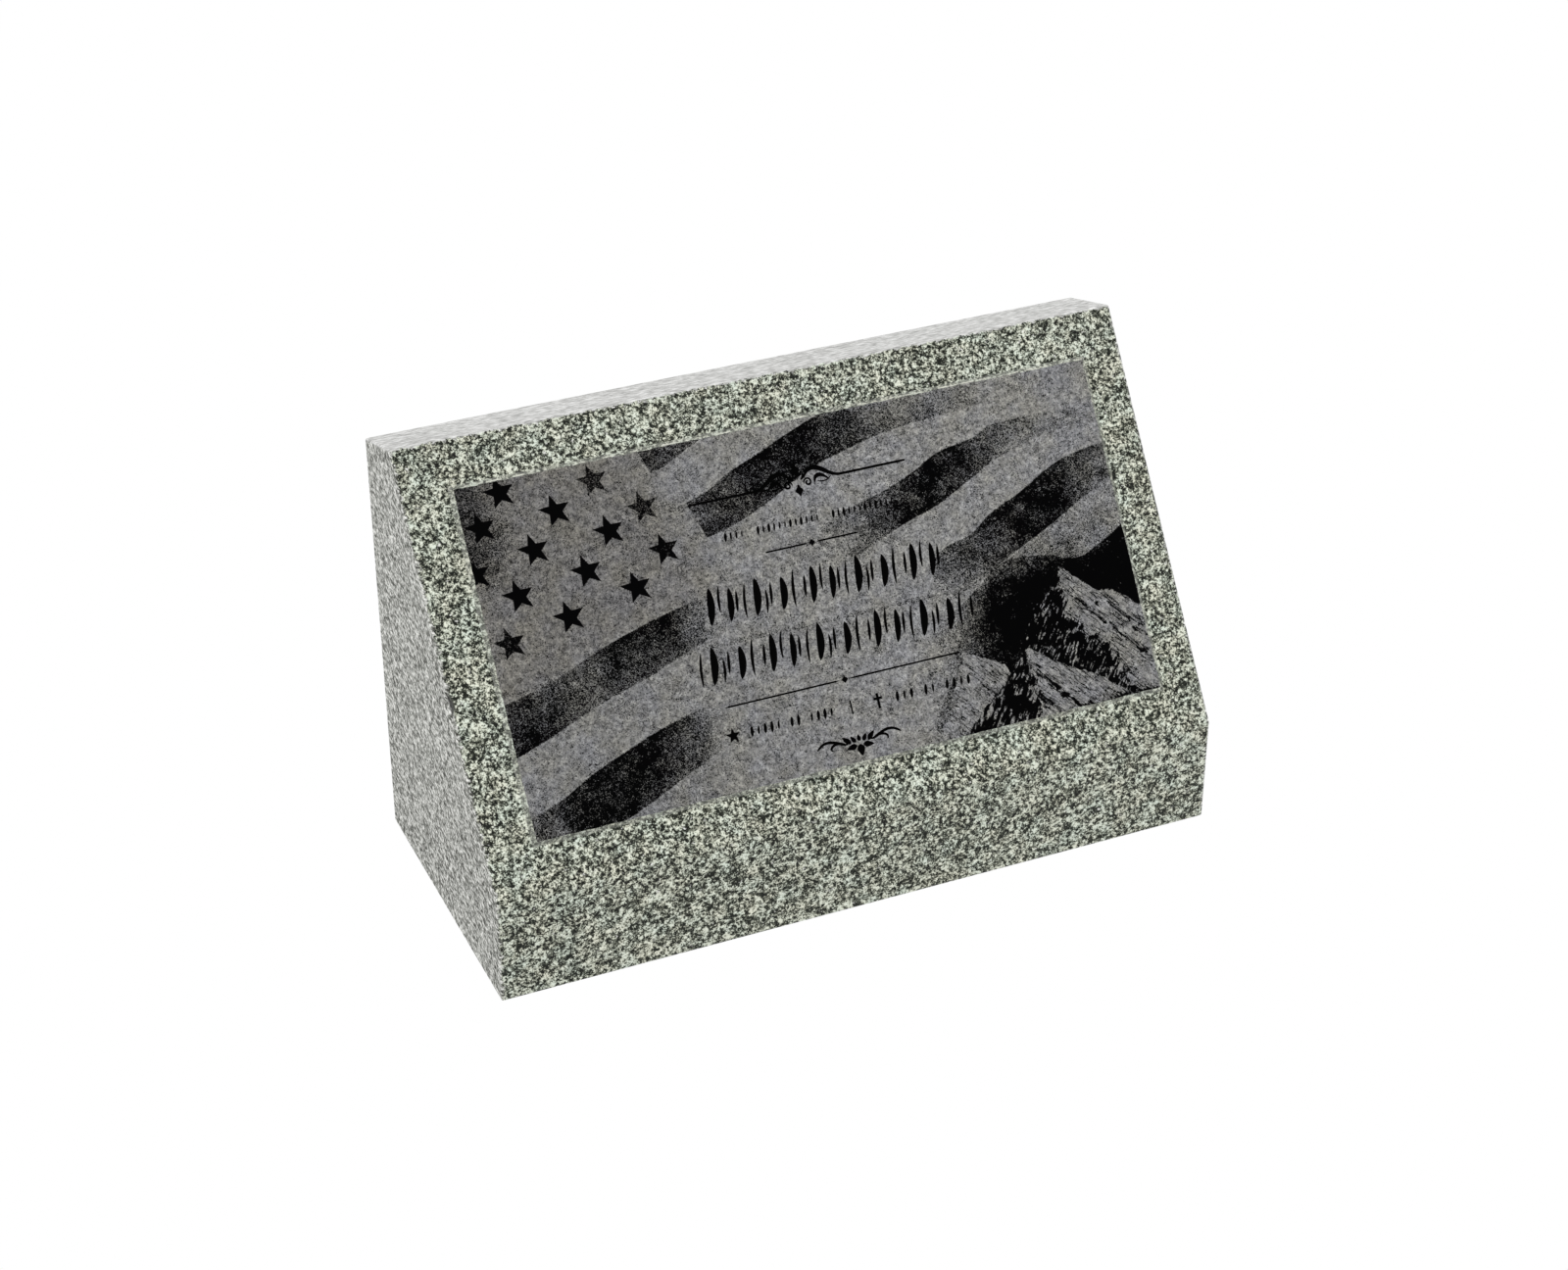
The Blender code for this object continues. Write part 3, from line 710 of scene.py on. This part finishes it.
def add_crest(bm):
    """The top rule, whose arms rise to a lozenge between two scrolls."""
    scroll = scroll_stations()
    for side in (-1, 1):
        add_drawn(bm, ARM, CREST_HEIGHT, side, FINE_DEPTH)
        add_drawn(bm, scroll, CREST_HEIGHT, side, FINE_DEPTH, 1)
        for leaf in (CREST_LEAF, CREST_TENDRIL, INNER_LEAF):
            add_drawn(bm, leaf, CREST_HEIGHT, side, FINE_DEPTH)
    add_drawn(bm, UPPER_LOZENGE, CREST_HEIGHT, 1, STROKE_DEPTH, 3)
    add_drawn(bm, LOWER_LOZENGE, CREST_HEIGHT, 1, STROKE_DEPTH, 3)


def add_spray(bm):
    """The foot ornament: leaves round a middle, between two curling stems."""
    leaves = [(leaf, 1) for leaf in UPRIGHT_LEAVES]
    leaves += [(leaf, side) for leaf in PAIRED_LEAVES for side in (-1, 1)]
    for (root, tip, half_width), side in leaves:
        root, tip = Vector(root), Vector(tip)
        path = [(*root.lerp(tip, share), half_width * swell) for share, swell in LEAF_SWELL]
        add_drawn(bm, path, SPRAY_HEIGHT, side, FINE_DEPTH, 3)
    for curve in (STEM, CURL):
        for side in (-1, 1):
            add_drawn(bm, curve, SPRAY_HEIGHT, side, FINE_DEPTH)


def add_date_signs(bm):
    """The star, the divider and the cross beside the two rows of dates."""
    x, y = on_panel(STAR["place"], DATE_HEIGHT)
    add_star(bm, x, y, STAR["radius"] * FACE_HEIGHT)
    add_line(bm, *(on_panel(0.0, DATE_HEIGHT + side * DIVIDER_SIZE / 2) for side in (-1, 1)))
    x, y = on_panel(CROSS["place"], DATE_HEIGHT)
    add_cross(bm, x, y, *(CROSS[key] * FACE_HEIGHT for key in ("size", "span", "bar")))


def add_inscription(materials):
    """One cutter that holds every cut of the panel, set on the panel's face."""
    bm = bmesh.new()
    add_crest(bm)
    add_small_row(bm, HEADING_ROW)
    add_rule(bm, SHORT_RULE)
    for row in NAME_ROWS:
        add_name_row(bm, row)
    add_rule(bm, LONG_RULE)
    for row in DATE_ROWS:
        add_small_row(bm, row)
    add_date_signs(bm)
    add_spray(bm)
    for face in bm.faces:
        face.material_index = PAINT
    bmesh.ops.transform(bm, matrix=PANEL_FRAME, verts=bm.verts[:])
    return object_from("inscription_cutter", bm, materials)


def arrises():
    """The two ends of each edge of the block."""
    edges = []
    for i, start in enumerate(PROFILE):
        end = PROFILE[(i + 1) % len(PROFILE)]
        edges += [(Vector((x, *start)), Vector((x, *end))) for x in (-WIDTH / 2, WIDTH / 2)]
        edges.append((Vector((-WIDTH / 2, *start)), Vector((WIDTH / 2, *start))))
    return edges


def add_chips(materials):
    """The nick in the left arris, and specks of missing stone along all of them."""
    bm = bmesh.new()
    made = bmesh.ops.create_icosphere(bm, subdivisions=4, radius=1.0)
    draw = random.Random(CHIP_SEED)
    waves = []
    for _ in range(NICK_WAVES):
        waves.append(Vector([draw.uniform(-NICK_WAVE_PITCH, NICK_WAVE_PITCH) for _ in range(3)]))
    for vert in made["verts"]:
        bump = sum(math.sin(vert.co.dot(wave) + k) for k, wave in enumerate(waves))
        vert.co *= 1 + NICK_UNEVEN * bump
    place = Matrix.Translation((-WIDTH / 2, SLANT_LENGTH * NICK_PLACE, 0.0))
    size = Matrix.Diagonal((*NICK_SIZE, 1.0))
    bmesh.ops.transform(bm, matrix=SLANT_FRAME @ place @ size, verts=bm.verts[:])

    edges = arrises()
    lengths = [(end - start).length for start, end in edges]
    for _ in range(CHIP_COUNT):
        start, end = draw.choices(edges, weights=lengths)[0]
        centre = Matrix.Translation(start.lerp(end, draw.uniform(0.03, 0.97)))
        along = (end - start).to_track_quat("X", "Z").to_matrix().to_4x4()
        radius = draw.uniform(*CHIP_RADIUS)
        stretch = Matrix.Diagonal((radius * draw.uniform(1.0, CHIP_STRETCH), radius, radius, 1.0))
        spin = Matrix.Rotation(draw.uniform(0, math.pi), 4, "X")
        matrix = centre @ along @ spin @ stretch
        bmesh.ops.create_icosphere(bm, subdivisions=2, radius=1.0, matrix=matrix)
    return object_from("chip_cutter", bm, materials)


def cut(block, cutter):
    """Take a cutter away from the block."""
    away = block.modifiers.new(cutter.name, "BOOLEAN")
    away.operation = "DIFFERENCE"
    away.solver = "EXACT"
    away.use_self = True
    away.object = cutter


def settle(block, cutters):
    """Turn the block's modifiers into its mesh and delete the cutters."""
    bpy.context.view_layer.update()
    graph = bpy.context.evaluated_depsgraph_get()
    mesh = bpy.data.meshes.new_from_object(block.evaluated_get(graph))
    block.modifiers.clear()
    block.data = mesh
    for cutter in cutters:
        bpy.data.objects.remove(cutter, do_unlink=True)


def map_faces():
    """Each side of the block: its normal, a corner in space and on the map, scale, right and up."""
    front, top, side, back, under = (MAP_SCALE[key] for key in ("front", "top", "side", "back", "under"))
    corner = Vector((-WIDTH / 2, -DEPTH / 2, 0))
    gap = MAP_GAP
    slant_low = gap + NOSE_HEIGHT * front + gap
    upper = slant_low + SLANT_LENGTH * front + gap
    top_left = gap + WIDTH * front + gap
    right_left = gap + DEPTH * side + gap
    back_left = right_left + DEPTH * side + gap
    under_left = back_left + WIDTH * back + gap
    forward_up = Vector((0, -TOP_DEPTH, TOP_FALL)).normalized()
    return (
        (SLANT_OUT, SLANT_FOOT - RIGHTWARD * WIDTH / 2, (gap, slant_low), front, RIGHTWARD, SLANT_UP),
        (-BACKWARD, corner, (gap, gap), front, RIGHTWARD, UPWARD),
        (TOP_OUT, TOP_CORNER, (top_left, gap), top, forward_up, RIGHTWARD),
        (-RIGHTWARD, corner, (gap, upper), side, BACKWARD, UPWARD),
        (RIGHTWARD, corner, (right_left, upper), side, BACKWARD, UPWARD),
        (BACKWARD, corner, (back_left, upper), back, RIGHTWARD, UPWARD),
        (-UPWARD, corner, (under_left, upper), under, BACKWARD, RIGHTWARD),
    )


def add_bake_map(block):
    """A texture map that gives the slant and the nose the finest share of the picture."""
    faces = map_faces()
    mesh = block.data
    layer = mesh.uv_layers.new(name="OFBake")
    for polygon in mesh.polygons:
        face = faces[0]
        if polygon.material_index == GRANITE:
            face = max(faces, key=lambda item: item[0].dot(polygon.normal))
        _, origin, start, scale, right, up = face
        for index in polygon.loop_indices:
            offset = mesh.vertices[mesh.loops[index].vertex_index].co - origin
            place = (start[0] + offset.dot(right) * scale, start[1] + offset.dot(up) * scale)
            layer.data[index].uv = [value / MAP_SIZE for value in place]


def shade(block):
    """Round the eased edges and the rim, and leave the sawn and cut faces flat."""
    mesh = block.data
    flat = (RIGHTWARD, -RIGHTWARD, BACKWARD, -BACKWARD, -UPWARD, SLANT_OUT, TOP_OUT)
    for polygon in mesh.polygons:
        is_flat = any(polygon.normal.dot(normal) >= FLAT_MATCH for normal in flat)
        eased = polygon.material_index == GRANITE and not is_flat
        polygon.use_smooth = eased or polygon.material_index == RIM
    mesh.update()


class Graph:
    """Short calls for the nodes of one material."""

    def __init__(self, name):
        self.material = bpy.data.materials.new(name)
        self.material.use_nodes = True
        self.tree = self.material.node_tree
        self.shader = self.tree.nodes["Principled BSDF"]

    def feed(self, socket, value):
        """Link a socket to another, or set it to a plain value."""
        if isinstance(value, bpy.types.NodeSocket):
            self.tree.links.new(value, socket)
        else:
            socket.default_value = value

    def node(self, kind, inputs=None, **settings):
        """A node with its settings and its inputs, by their names or numbers."""
        made = self.tree.nodes.new(kind)
        for key, value in settings.items():
            setattr(made, key, value)
        for key, value in (inputs or {}).items():
            self.feed(made.inputs[key], value)
        return made

    def finish(self, colour, roughness, gloss):
        """Set the shader's colour, roughness and gloss, and give the material."""
        names = ("Base Color", "Roughness", "Specular IOR Level")
        for name, value in zip(names, (colour, roughness, gloss)):
            self.feed(self.shader.inputs[name], value)
        return self.material

    def math(self, operation, *values):
        """A sum on one or two numbers."""
        return self.node("ShaderNodeMath", dict(enumerate(values)), operation=operation).outputs[0]

    def chain(self, operation, values):
        """The same sum on any count of numbers, one after the other."""
        result = values[0]
        for value in values[1:]:
            result = self.math(operation, result, value)
        return result

    def total(self, *values):
        return self.chain("ADD", values)

    def product(self, *values):
        return self.chain("MULTIPLY", values)

    def most(self, *values):
        return self.chain("MAXIMUM", values)

    def least(self, *values):
        return self.chain("MINIMUM", values)

    def minus(self, first, second):
        return self.math("SUBTRACT", first, second)

    def away(self, value, middle):
        """How far a value lies from another, either way."""
        return self.math("ABSOLUTE", self.minus(value, middle))

    def combine(self, x, y, z=0.0):
        """A vector from its three parts."""
        return self.node("ShaderNodeCombineXYZ", {"X": x, "Y": y, "Z": z}).outputs[0]

    def vector(self, operation, *values):
        """A sum on vectors."""
        made = self.node("ShaderNodeVectorMath", dict(enumerate(values)), operation=operation)
        return made.outputs[1 if operation in ("DOT_PRODUCT", "LENGTH") else 0]

    def along(self, place, direction, origin=(0.0, 0.0, 0.0)):
        """How far a place lies from an origin in a direction."""
        offset = self.vector("SUBTRACT", place, tuple(origin))
        return self.vector("DOT_PRODUCT", offset, tuple(direction))

    def step(self, value, low, high, out_low=0.0, out_high=1.0, kind="SMOOTHSTEP"):
        """The value's place between low and high, eased and kept inside both."""
        inputs = dict(enumerate((value, low, high, out_low, out_high)))
        return self.node("ShaderNodeMapRange", inputs, interpolation_type=kind).outputs[0]

    def blend(self, share, first, second):
        """A number between two others."""
        return self.node("ShaderNodeMix", {0: share, 2: first, 3: second}).outputs[0]

    def pick(self, share, first, second):
        """A vector between two others."""
        inputs = {0: share, 4: first, 5: second}
        return self.node("ShaderNodeMix", inputs, data_type="VECTOR").outputs[1]

    def tint(self, share, first, second, way="MIX"):
        """A colour between two others."""
        inputs = {0: share, 6: first, 7: second}
        return self.node("ShaderNodeMix", inputs, data_type="RGBA", blend_type=way).outputs[2]

    def toned(self, colour, tone):
        """A colour multiplied by another."""
        return self.tint(1.0, colour, tone, "MULTIPLY")

    def noise(self, place, scale, detail, roughness, distortion=0.0):
        """A noise of 0 to 1, whose scale is in waves for each unit of the place."""
        inputs = {"Vector": place, "Scale": scale, "Detail": detail, "Roughness": roughness}
        inputs["Distortion"] = distortion
        return self.node("ShaderNodeTexNoise", inputs).outputs[0]

    def patches(self, place, noise, bounds, values, kind="SMOOTHSTEP"):
        """A noise, with what lies between two bounds spread between two values."""
        return self.step(self.noise(place, *noise), *bounds, *values, kind)

    def ramp(self, value, stops):
        """Colours along a value; each stop is a place and an sRGB colour of 0 to 255."""
        made = self.node("ShaderNodeValToRGB", {"Fac": value})
        elements = made.color_ramp.elements
        while len(elements) < len(stops):
            elements.new(0.5)
        for element, (place, colour) in zip(elements, stops):
            element.position = place
            element.color = (*(linear(c / 255) for c in colour), 1.0)
        return made.outputs[0]

    def curve(self, value, points, sharp=False):
        """A function of a value through the given points, level beyond the first and last."""
        low, high = points[0][0], points[-1][0]
        heights = [y for _, y in points]
        base, top = min(heights), max(heights)
        span = max(top - base, 1e-6)
        made = self.node("ShaderNodeFloatCurve")
        made.mapping.extend = "HORIZONTAL"
        line = made.mapping.curves[0]
        while len(line.points) < len(points):
            line.points.new(0.5, 0.5)
        for point, (x, y) in zip(line.points, points):
            point.location = ((x - low) / (high - low), (y - base) / span)
            point.handle_type = "VECTOR" if sharp else "AUTO"
        made.mapping.update()
        self.feed(made.inputs["Value"], self.step(value, low, high, kind="LINEAR"))
        return self.step(made.outputs[0], 0.0, 1.0, base, top, kind="LINEAR")


def linear(value):
    """An sRGB share as a linear one."""
    return value / 12.92 if value <= 0.04045 else ((value + 0.055) / 1.055) ** 2.4


def object_place(g):
    """The place of a point in the stone's own frame."""
    return g.node("ShaderNodeTexCoord").outputs["Object"]


def grains(g, place, size):
    """A random tone for each grain, with ragged bounds between the grains."""
    scale = 1 / size
    pushed = g.node("ShaderNodeTexNoise", {"Vector": place, "Scale": scale * 1.3, "Detail": 2.0}).outputs[1]
    pushed = g.vector("MULTIPLY", g.vector("SUBTRACT", pushed, (0.5, 0.5, 0.5)), (size, size, size))
    cells = g.node("ShaderNodeTexVoronoi", {"Vector": g.vector("ADD", place, pushed), "Scale": scale})
    return g.node("ShaderNodeSeparateColor", {"Color": cells.outputs["Color"]}).outputs[0]


def granite_colour(g, place):
    """Polished granite: pale feldspar, grey quartz and clusters of dark mica."""
    tones = [g.product(grains(g, place, size), weight) for size, weight in GRANITE_GRAINS]
    tones += [g.product(g.noise(place, *noise), weight) for *noise, weight in GRANITE_NOISES]
    colour = g.ramp(g.total(*tones, GRANITE_LEVEL), GRANITE_TONES)
    return g.toned(colour, g.ramp(g.noise(place, *HUE_NOISE), GRANITE_HUES))


def sawn_colour(g, place):
    """Sawn granite: pale, with fine low streaks on the sides and level ones on the top."""
    streak = (0.0, -math.cos(SAWN_LEAN), -math.sin(SAWN_LEAN))
    across = (0.0, -math.sin(SAWN_LEAN), math.cos(SAWN_LEAN))
    stretched = g.combine(
        g.product(g.along(place, RIGHTWARD), SAWN_STRETCH),
        g.product(g.along(place, streak), SAWN_STRETCH),
        g.along(place, across),
    )
    grain = g.product(grains(g, stretched, SAWN_GRAIN), SAWN_GRAIN_WEIGHT)
    # Painted shade: the sawn faces darken towards their foot
    painted_shade = g.product(g.along(place, UPWARD), SAWN_PAINTED_SHADE)
    sides = g.ramp(g.total(g.noise(stretched, *SAWN_NOISE), grain, painted_shade, SAWN_LEVEL), SIDE_TONES)
    head = g.ramp(g.noise(g.vector("MULTIPLY", place, HEAD_STRETCH), *HEAD_NOISE), HEAD_TONES)
    return g.tint(g.step(g.along(place, -TOP_OUT, TOP_CORNER), *HEAD_SKIN), head, sides)


def nick_painted_shadow(g, place):
    """A painted shadow: the dark line beside the upper half of the nick in the left arris."""
    reach, half_length, _ = NICK_SIZE
    middle = SLANT_FRAME @ Vector((-WIDTH / 2, SLANT_LENGTH * NICK_PLACE, 0.0))
    share = g.product(g.along(place, SLANT_UP, middle), 1 / half_length)
    bulge = g.math("SQRT", g.most(g.minus(1.0, g.product(share, share)), 0.0))
    past = g.minus(g.along(place, RIGHTWARD, middle), g.product(bulge, reach))
    return g.product(
        g.step(past, *NICK_SHADOW["near"]),
        g.step(past, *NICK_SHADOW["far"], 1.0, 0.0),
        g.step(share, *NICK_SHADOW["foot"]),
        g.step(share, *NICK_SHADOW["head"], 1.0, 0.0),
        NICK_SHADOW["strength"],
    )


def past_margin(g, depth, uneven, margin):
    """Where a depth passes a ragged margin."""
    ragged = g.step(uneven, *margin["bounds"], *margin["depths"], "LINEAR")
    return g.step(g.minus(depth, ragged), 0.0, margin["blur"])


def granite_material():
    """The outer faces: polished on the slant and the nose, sawn on the rest."""
    g = Graph("granite")
    place = object_place(g)
    uneven = g.noise(place, *EDGE_NOISE)
    inward = g.least(g.along(place, -SLANT_OUT, SLANT_FOOT), g.along(place, BACKWARD, SLANT_FOOT))
    below = past_margin(g, inward, uneven, POLISH_SKIN)
    # The polish stops short of the arrises that the saw left.
    aside = g.minus(WIDTH / 2, g.math("ABSOLUTE", g.along(place, RIGHTWARD)))
    headway = g.minus(SLANT_LENGTH, g.along(place, SLANT_UP, SLANT_FOOT))
    sawn = g.most(below, g.minus(1.0, past_margin(g, g.least(aside, headway), uneven, ARRIS_WEAR)))
    colour = g.tint(sawn, granite_colour(g, place), sawn_colour(g, place))
    # Painted shadow: a dark line along the nick's upper edge
    colour = g.tint(nick_painted_shadow(g, place), colour, NICK_SHADOW_COLOUR)
    return g.finish(colour, g.blend(sawn, POLISHED_ROUGHNESS, SAWN_ROUGHNESS), GRANITE_GLOSS)


def rim_material():
    """The panel's bevelled rim: rubbed granite, with a painted highlight along its head."""
    g = Graph("rim")
    place = object_place(g)
    rubbed = g.ramp(g.noise(place, *RUBBED_NOISE), RUBBED_TONES)
    colour = g.tint(RUBBED_SHARE, granite_colour(g, place), rubbed)
    up = g.along(place, SLANT_UP, SLANT_FOOT)
    # Painted highlight: a broken pale line along the rim's head, where light from above would catch it
    line = g.step(g.away(up, PANEL_HEAD - PANEL_BEVEL * RIM_HIGHLIGHT), *HIGHLIGHT_LINE, 1.0, 0.0)
    colour = g.tint(g.product(line, g.patches(place, *HIGHLIGHT_BREAKS)), colour, HIGHLIGHT_COLOUR)
    return g.finish(colour, RIM_ROUGHNESS, RIM_GLOSS)


def picture_place(g, place):
    """How far right and how far up the picture a point lies."""
    low = SLANT_FRAME @ Vector((PANEL_LEFT + PANEL_BEVEL, PANEL_FOOT + PANEL_BEVEL, 0.0))
    return tuple(g.product(g.along(place, way, low), 1 / MODULE) for way in (RIGHTWARD, SLANT_UP))


def stripe_shade(g, x, y, stripe, below=False):
    """How dark a stripe is; it goes on below its lower edge where asked."""
    upper, lower = (g.curve(x, stripe[key]) for key in ("upper", "lower"))
    inside = g.step(g.minus(upper, y), -PICTURE_EDGE, PICTURE_EDGE)
    if not below:
        inside = g.product(inside, g.step(g.minus(y, lower), -PICTURE_EDGE, PICTURE_EDGE))
    if "start" in stripe:
        start_x, start_y = stripe["start"]
        past = g.total(x, g.product(y, FIELD_LEAN), -start_x - FIELD_LEAN * start_y)
        inside = g.product(inside, g.step(past, -PICTURE_EDGE, PICTURE_EDGE))
    head = g.curve(x, [(at, shade) for at, shade, _ in stripe["shade"]])
    foot = g.curve(x, [(at, shade) for at, _, shade in stripe["shade"]])
    return g.product(inside, g.blend(g.step(y, lower, upper, kind="LINEAR"), foot, head))


def star_shade(g, x, y):
    """How dark the nearest star is at a point, nothing outside it."""
    place = g.combine(x, y)
    nearest = least = None
    for star_x, star_y, dark in STARS:
        offset = g.vector("SUBTRACT", place, (star_x, star_y, -dark))
        away = g.vector("LENGTH", offset)
        if nearest is None:
            nearest, least = offset, away
        else:
            nearest = g.pick(g.math("LESS_THAN", away, least), nearest, offset)
            least = g.least(away, least)
    across, up, dark = g.node("ShaderNodeSeparateXYZ", {"Vector": nearest}).outputs
    across = g.total(across, g.product(up, STAR_SHEAR))
    angle = g.minus(g.math("ARCTAN2", up, across), math.pi / 2 + STAR_TILT)
    folded = g.math("PINGPONG", angle, math.pi / STAR_POINTS)
    reach = g.math("SQRT", g.total(g.product(across, across), g.product(up, up)))
    # The side from a point of the star to its waist
    turn = math.pi / STAR_POINTS
    waist = Vector((math.cos(turn), math.sin(turn))) * STAR_WAIST
    facing = Vector((waist.y, 1 - waist.x)).normalized()
    level = g.product(reach, g.math("COSINE", g.minus(folded, math.atan2(facing.y, facing.x))))
    side = facing.x * STAR_RADIUS
    return g.product(g.step(level, side - STAR_EDGE, side + STAR_EDGE, 1.0, 0.0), dark)


def hatching(g, x, y, angle, pitch, length):
    """Strokes that run at an angle, as a value about one half."""
    cosine, sine = math.cos(math.radians(angle)), math.sin(math.radians(angle))
    along = g.total(g.product(x, cosine / length), g.product(y, sine / length))
    across = g.total(g.product(x, -sine), g.product(y, cosine))
    return g.noise(g.combine(along, across), 1 / pitch, *HATCH_NOISE)


def peak_shade(g, x, y, peak, tones, uneven):
    """Where a peak covers the picture, and how dark it is there."""
    lit, dark = tones
    ragged, streaks = (g.minus(value, 0.5) for value in uneven)
    skyline = g.curve(x, peak["skyline"], sharp=True)
    ridge = g.curve(y, peak["ridge"])
    rise = g.total(g.minus(skyline, y), g.product(ragged, PEAK_RAGGED))
    cover = g.step(rise, -PICTURE_EDGE, PICTURE_EDGE)
    # The ridge is sharp at the top and grows ragged further down.
    ragged = g.product(g.total(ragged, streaks), g.step(rise, *RIDGE_RAGGED, "LINEAR"))
    right = g.step(g.total(g.minus(x, ridge), ragged), -RIDGE_BLUR, RIDGE_BLUR)
    return cover, g.blend(right, g.product(dark, peak["depth"]), lit)


def ravine_shade(g, x, y, ravine, uneven):
    """How dark a ravine makes a point of the picture."""
    line = g.curve(x, [(at, height) for at, height, _ in ravine])
    half = g.curve(x, [(at, half) for at, _, half in ravine], sharp=True)
    margin = g.total(half, g.product(g.away(y, line), -RAVINE_SLOPE), g.product(uneven, RAVINE_RAGGED))
    return g.product(g.step(margin, -RAVINE_BLUR, RAVINE_BLUR), g.step(x, *RAVINE_FADE, *RAVINE_DARK))


def star_field(g, x, y):
    """The star field, left of its leaning edge and above the first long stripe."""
    start_x, start_y = STRIPES[0]["start"]
    beside = g.minus(start_x + FIELD_LEAN * start_y, g.total(x, g.product(y, FIELD_LEAN)))
    above = g.minus(y, g.curve(x, STRIPES[FIELD_STRIPE]["upper"]))
    return g.step(g.least(g.product(beside, FIELD_SPREAD), above), -FIELD_BLUR, FIELD_BLUR)


def peak_tones(g, x, y, place):
    """The lit and the dark side of every peak, and two of their noises."""
    falling, rising, scores = (hatching(g, x, y, *strokes) for strokes in (FALLING, RISING, SCORES))
    crease = g.step(g.away(falling, 0.5), *LIT_CREASES)
    scored = g.step(g.total(scores, g.product(falling, 0.5)), *LIT_SCORES)
    dark = g.step(g.total(rising, g.patches(place, *FLECKS)), *DARK_STROKES)
    return g.most(crease, scored), dark, rising, scores


def picture_shade(g, x, y, place):
    """How dark the picture is: stripes, sky and stars, then the peaks before them."""
    shades = [stripe_shade(g, x, y, stripe) for stripe in STRIPES]
    shades.append(stripe_shade(g, x, y, SKY, below=True))
    corner = g.product(g.step(x, *CORNER["across"]), g.step(y, *CORNER["up"]), CORNER["dark"])
    shade = g.product(g.most(corner, *shades), g.patches(place, *MOTTLE, "LINEAR"))
    shade = g.total(shade, g.patches(place, *SPECKS))
    shade = g.most(shade, star_shade(g, x, y))

    ragged = g.noise(place, *PEAK_NOISE)
    lit, dark, rising, scores = peak_tones(g, x, y, place)
    for peak in PEAKS:
        cover, tone = peak_shade(g, x, y, peak, (lit, dark), (ragged, rising))
        shade = g.blend(g.product(cover, g.step(x, *PEAK_FADE)), shade, tone)
    uneven = g.total(ragged, scores, -1.0)
    return g.most(shade, *(ravine_shade(g, x, y, ravine, uneven) for ravine in RAVINES))


def panel_material():
    """The panel's face: pale etched stone under the black dots of the picture."""
    g = Graph("panel")
    place = object_place(g)
    x, y = picture_place(g, place)
    coarse, fine = (g.noise(place, *noise) for noise in PANEL_NOISES)
    stone = g.ramp(g.blend(0.5, coarse, fine), PANEL_TONES)
    stone = g.toned(stone, g.ramp(g.noise(place, *PANEL_HUE_NOISE), PANEL_HUES))
    stone = g.tint(g.step(x, *LEFT_DIM), g.toned(stone, LEFT_TONE), stone)
    stone = g.tint(star_field(g, x, y), stone, g.toned(stone, FIELD_TONE))

    shade = picture_shade(g, x, y, place)
    clumps = g.product(g.minus(g.noise(place, *CLUMP_NOISE), 0.5), CLUMP_WEIGHT)
    dots = g.total(grains(g, place, DOT_SIZE), clumps)
    bare = g.step(g.minus(dots, g.product(shade, DOT_SPREAD)), -DOT_BLUR, DOT_BLUR)
    bare = g.product(bare, g.step(shade, *DOT_VEIL))
    return g.finish(g.tint(bare, INK, stone), PANEL_ROUGHNESS, 0.0)


def paint_material():
    """Black paint in the cuts."""
    return Graph("paint").finish(PAINT_COLOUR, PAINT_ROUGHNESS, 0.0)


def add_stone():
    """The visual stone, which stands for the solid."""
    materials = (granite_material(), rim_material(), panel_material(), paint_material())
    block = add_block(materials)
    cutters = (add_chips(materials), add_inscription(materials))
    for cutter in cutters:
        cut(block, cutter)
    settle(block, cutters)
    add_bake_map(block)
    shade(block)
    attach(block, "root")
    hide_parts(NODE)


def add_floor():
    """A plain white floor, evenly lit."""
    bm = bmesh.new()
    bmesh.ops.create_grid(bm, x_segments=1, y_segments=1, size=FLOOR_REACH)
    bmesh.ops.translate(bm, verts=bm.verts[:], vec=(0, 0, -FLOOR_DROP))
    g = Graph("white_floor")
    g.shader.inputs["Emission Color"].default_value = WHITE
    g.shader.inputs["Emission Strength"].default_value = 1.0
    object_from("floor", bm, (g.finish(BLACK, FLOOR_ROUGHNESS, 0.0),))


def add_light():
    """An even white surround and one soft lamp from the upper left."""
    world = bpy.data.worlds.new("surround")
    world.use_nodes = True
    back = world.node_tree.nodes["Background"]
    back.inputs["Color"].default_value = WHITE
    back.inputs["Strength"].default_value = 1.0
    bpy.context.scene.world = world
    lamp = bpy.data.lights.new("key", "SUN")
    lamp.energy = LAMP_ENERGY
    lamp.angle = LAMP_ANGLE
    key = bpy.data.objects.new("key", lamp)
    bpy.context.scene.collection.objects.link(key)
    key.rotation_euler = Vector(LAMP_WAY).to_track_quat("-Z", "Y").to_euler()


def add_camera():
    """The camera at the photograph's place."""
    lens = bpy.data.cameras.new("camera")
    lens.lens = CAMERA_LENS
    camera = bpy.data.objects.new("camera", lens)
    bpy.context.scene.collection.objects.link(camera)
    place, aim = Vector(CAMERA_PLACE), Vector(CAMERA_AIM)
    turn = (aim - place).to_track_quat("-Z", "Y").to_matrix().to_4x4()
    camera.matrix_world = Matrix.Translation(place) @ turn @ Matrix.Rotation(CAMERA_ROLL, 4, "Z")
    bpy.context.scene.camera = camera


add_stone()
add_floor()
add_light()
add_camera()
bpy.context.scene.view_settings.view_transform = "Standard"


def corners(bounds):
    """Both corners of a box as plain lists."""
    return [[float(value) for value in corner] for corner in bounds]
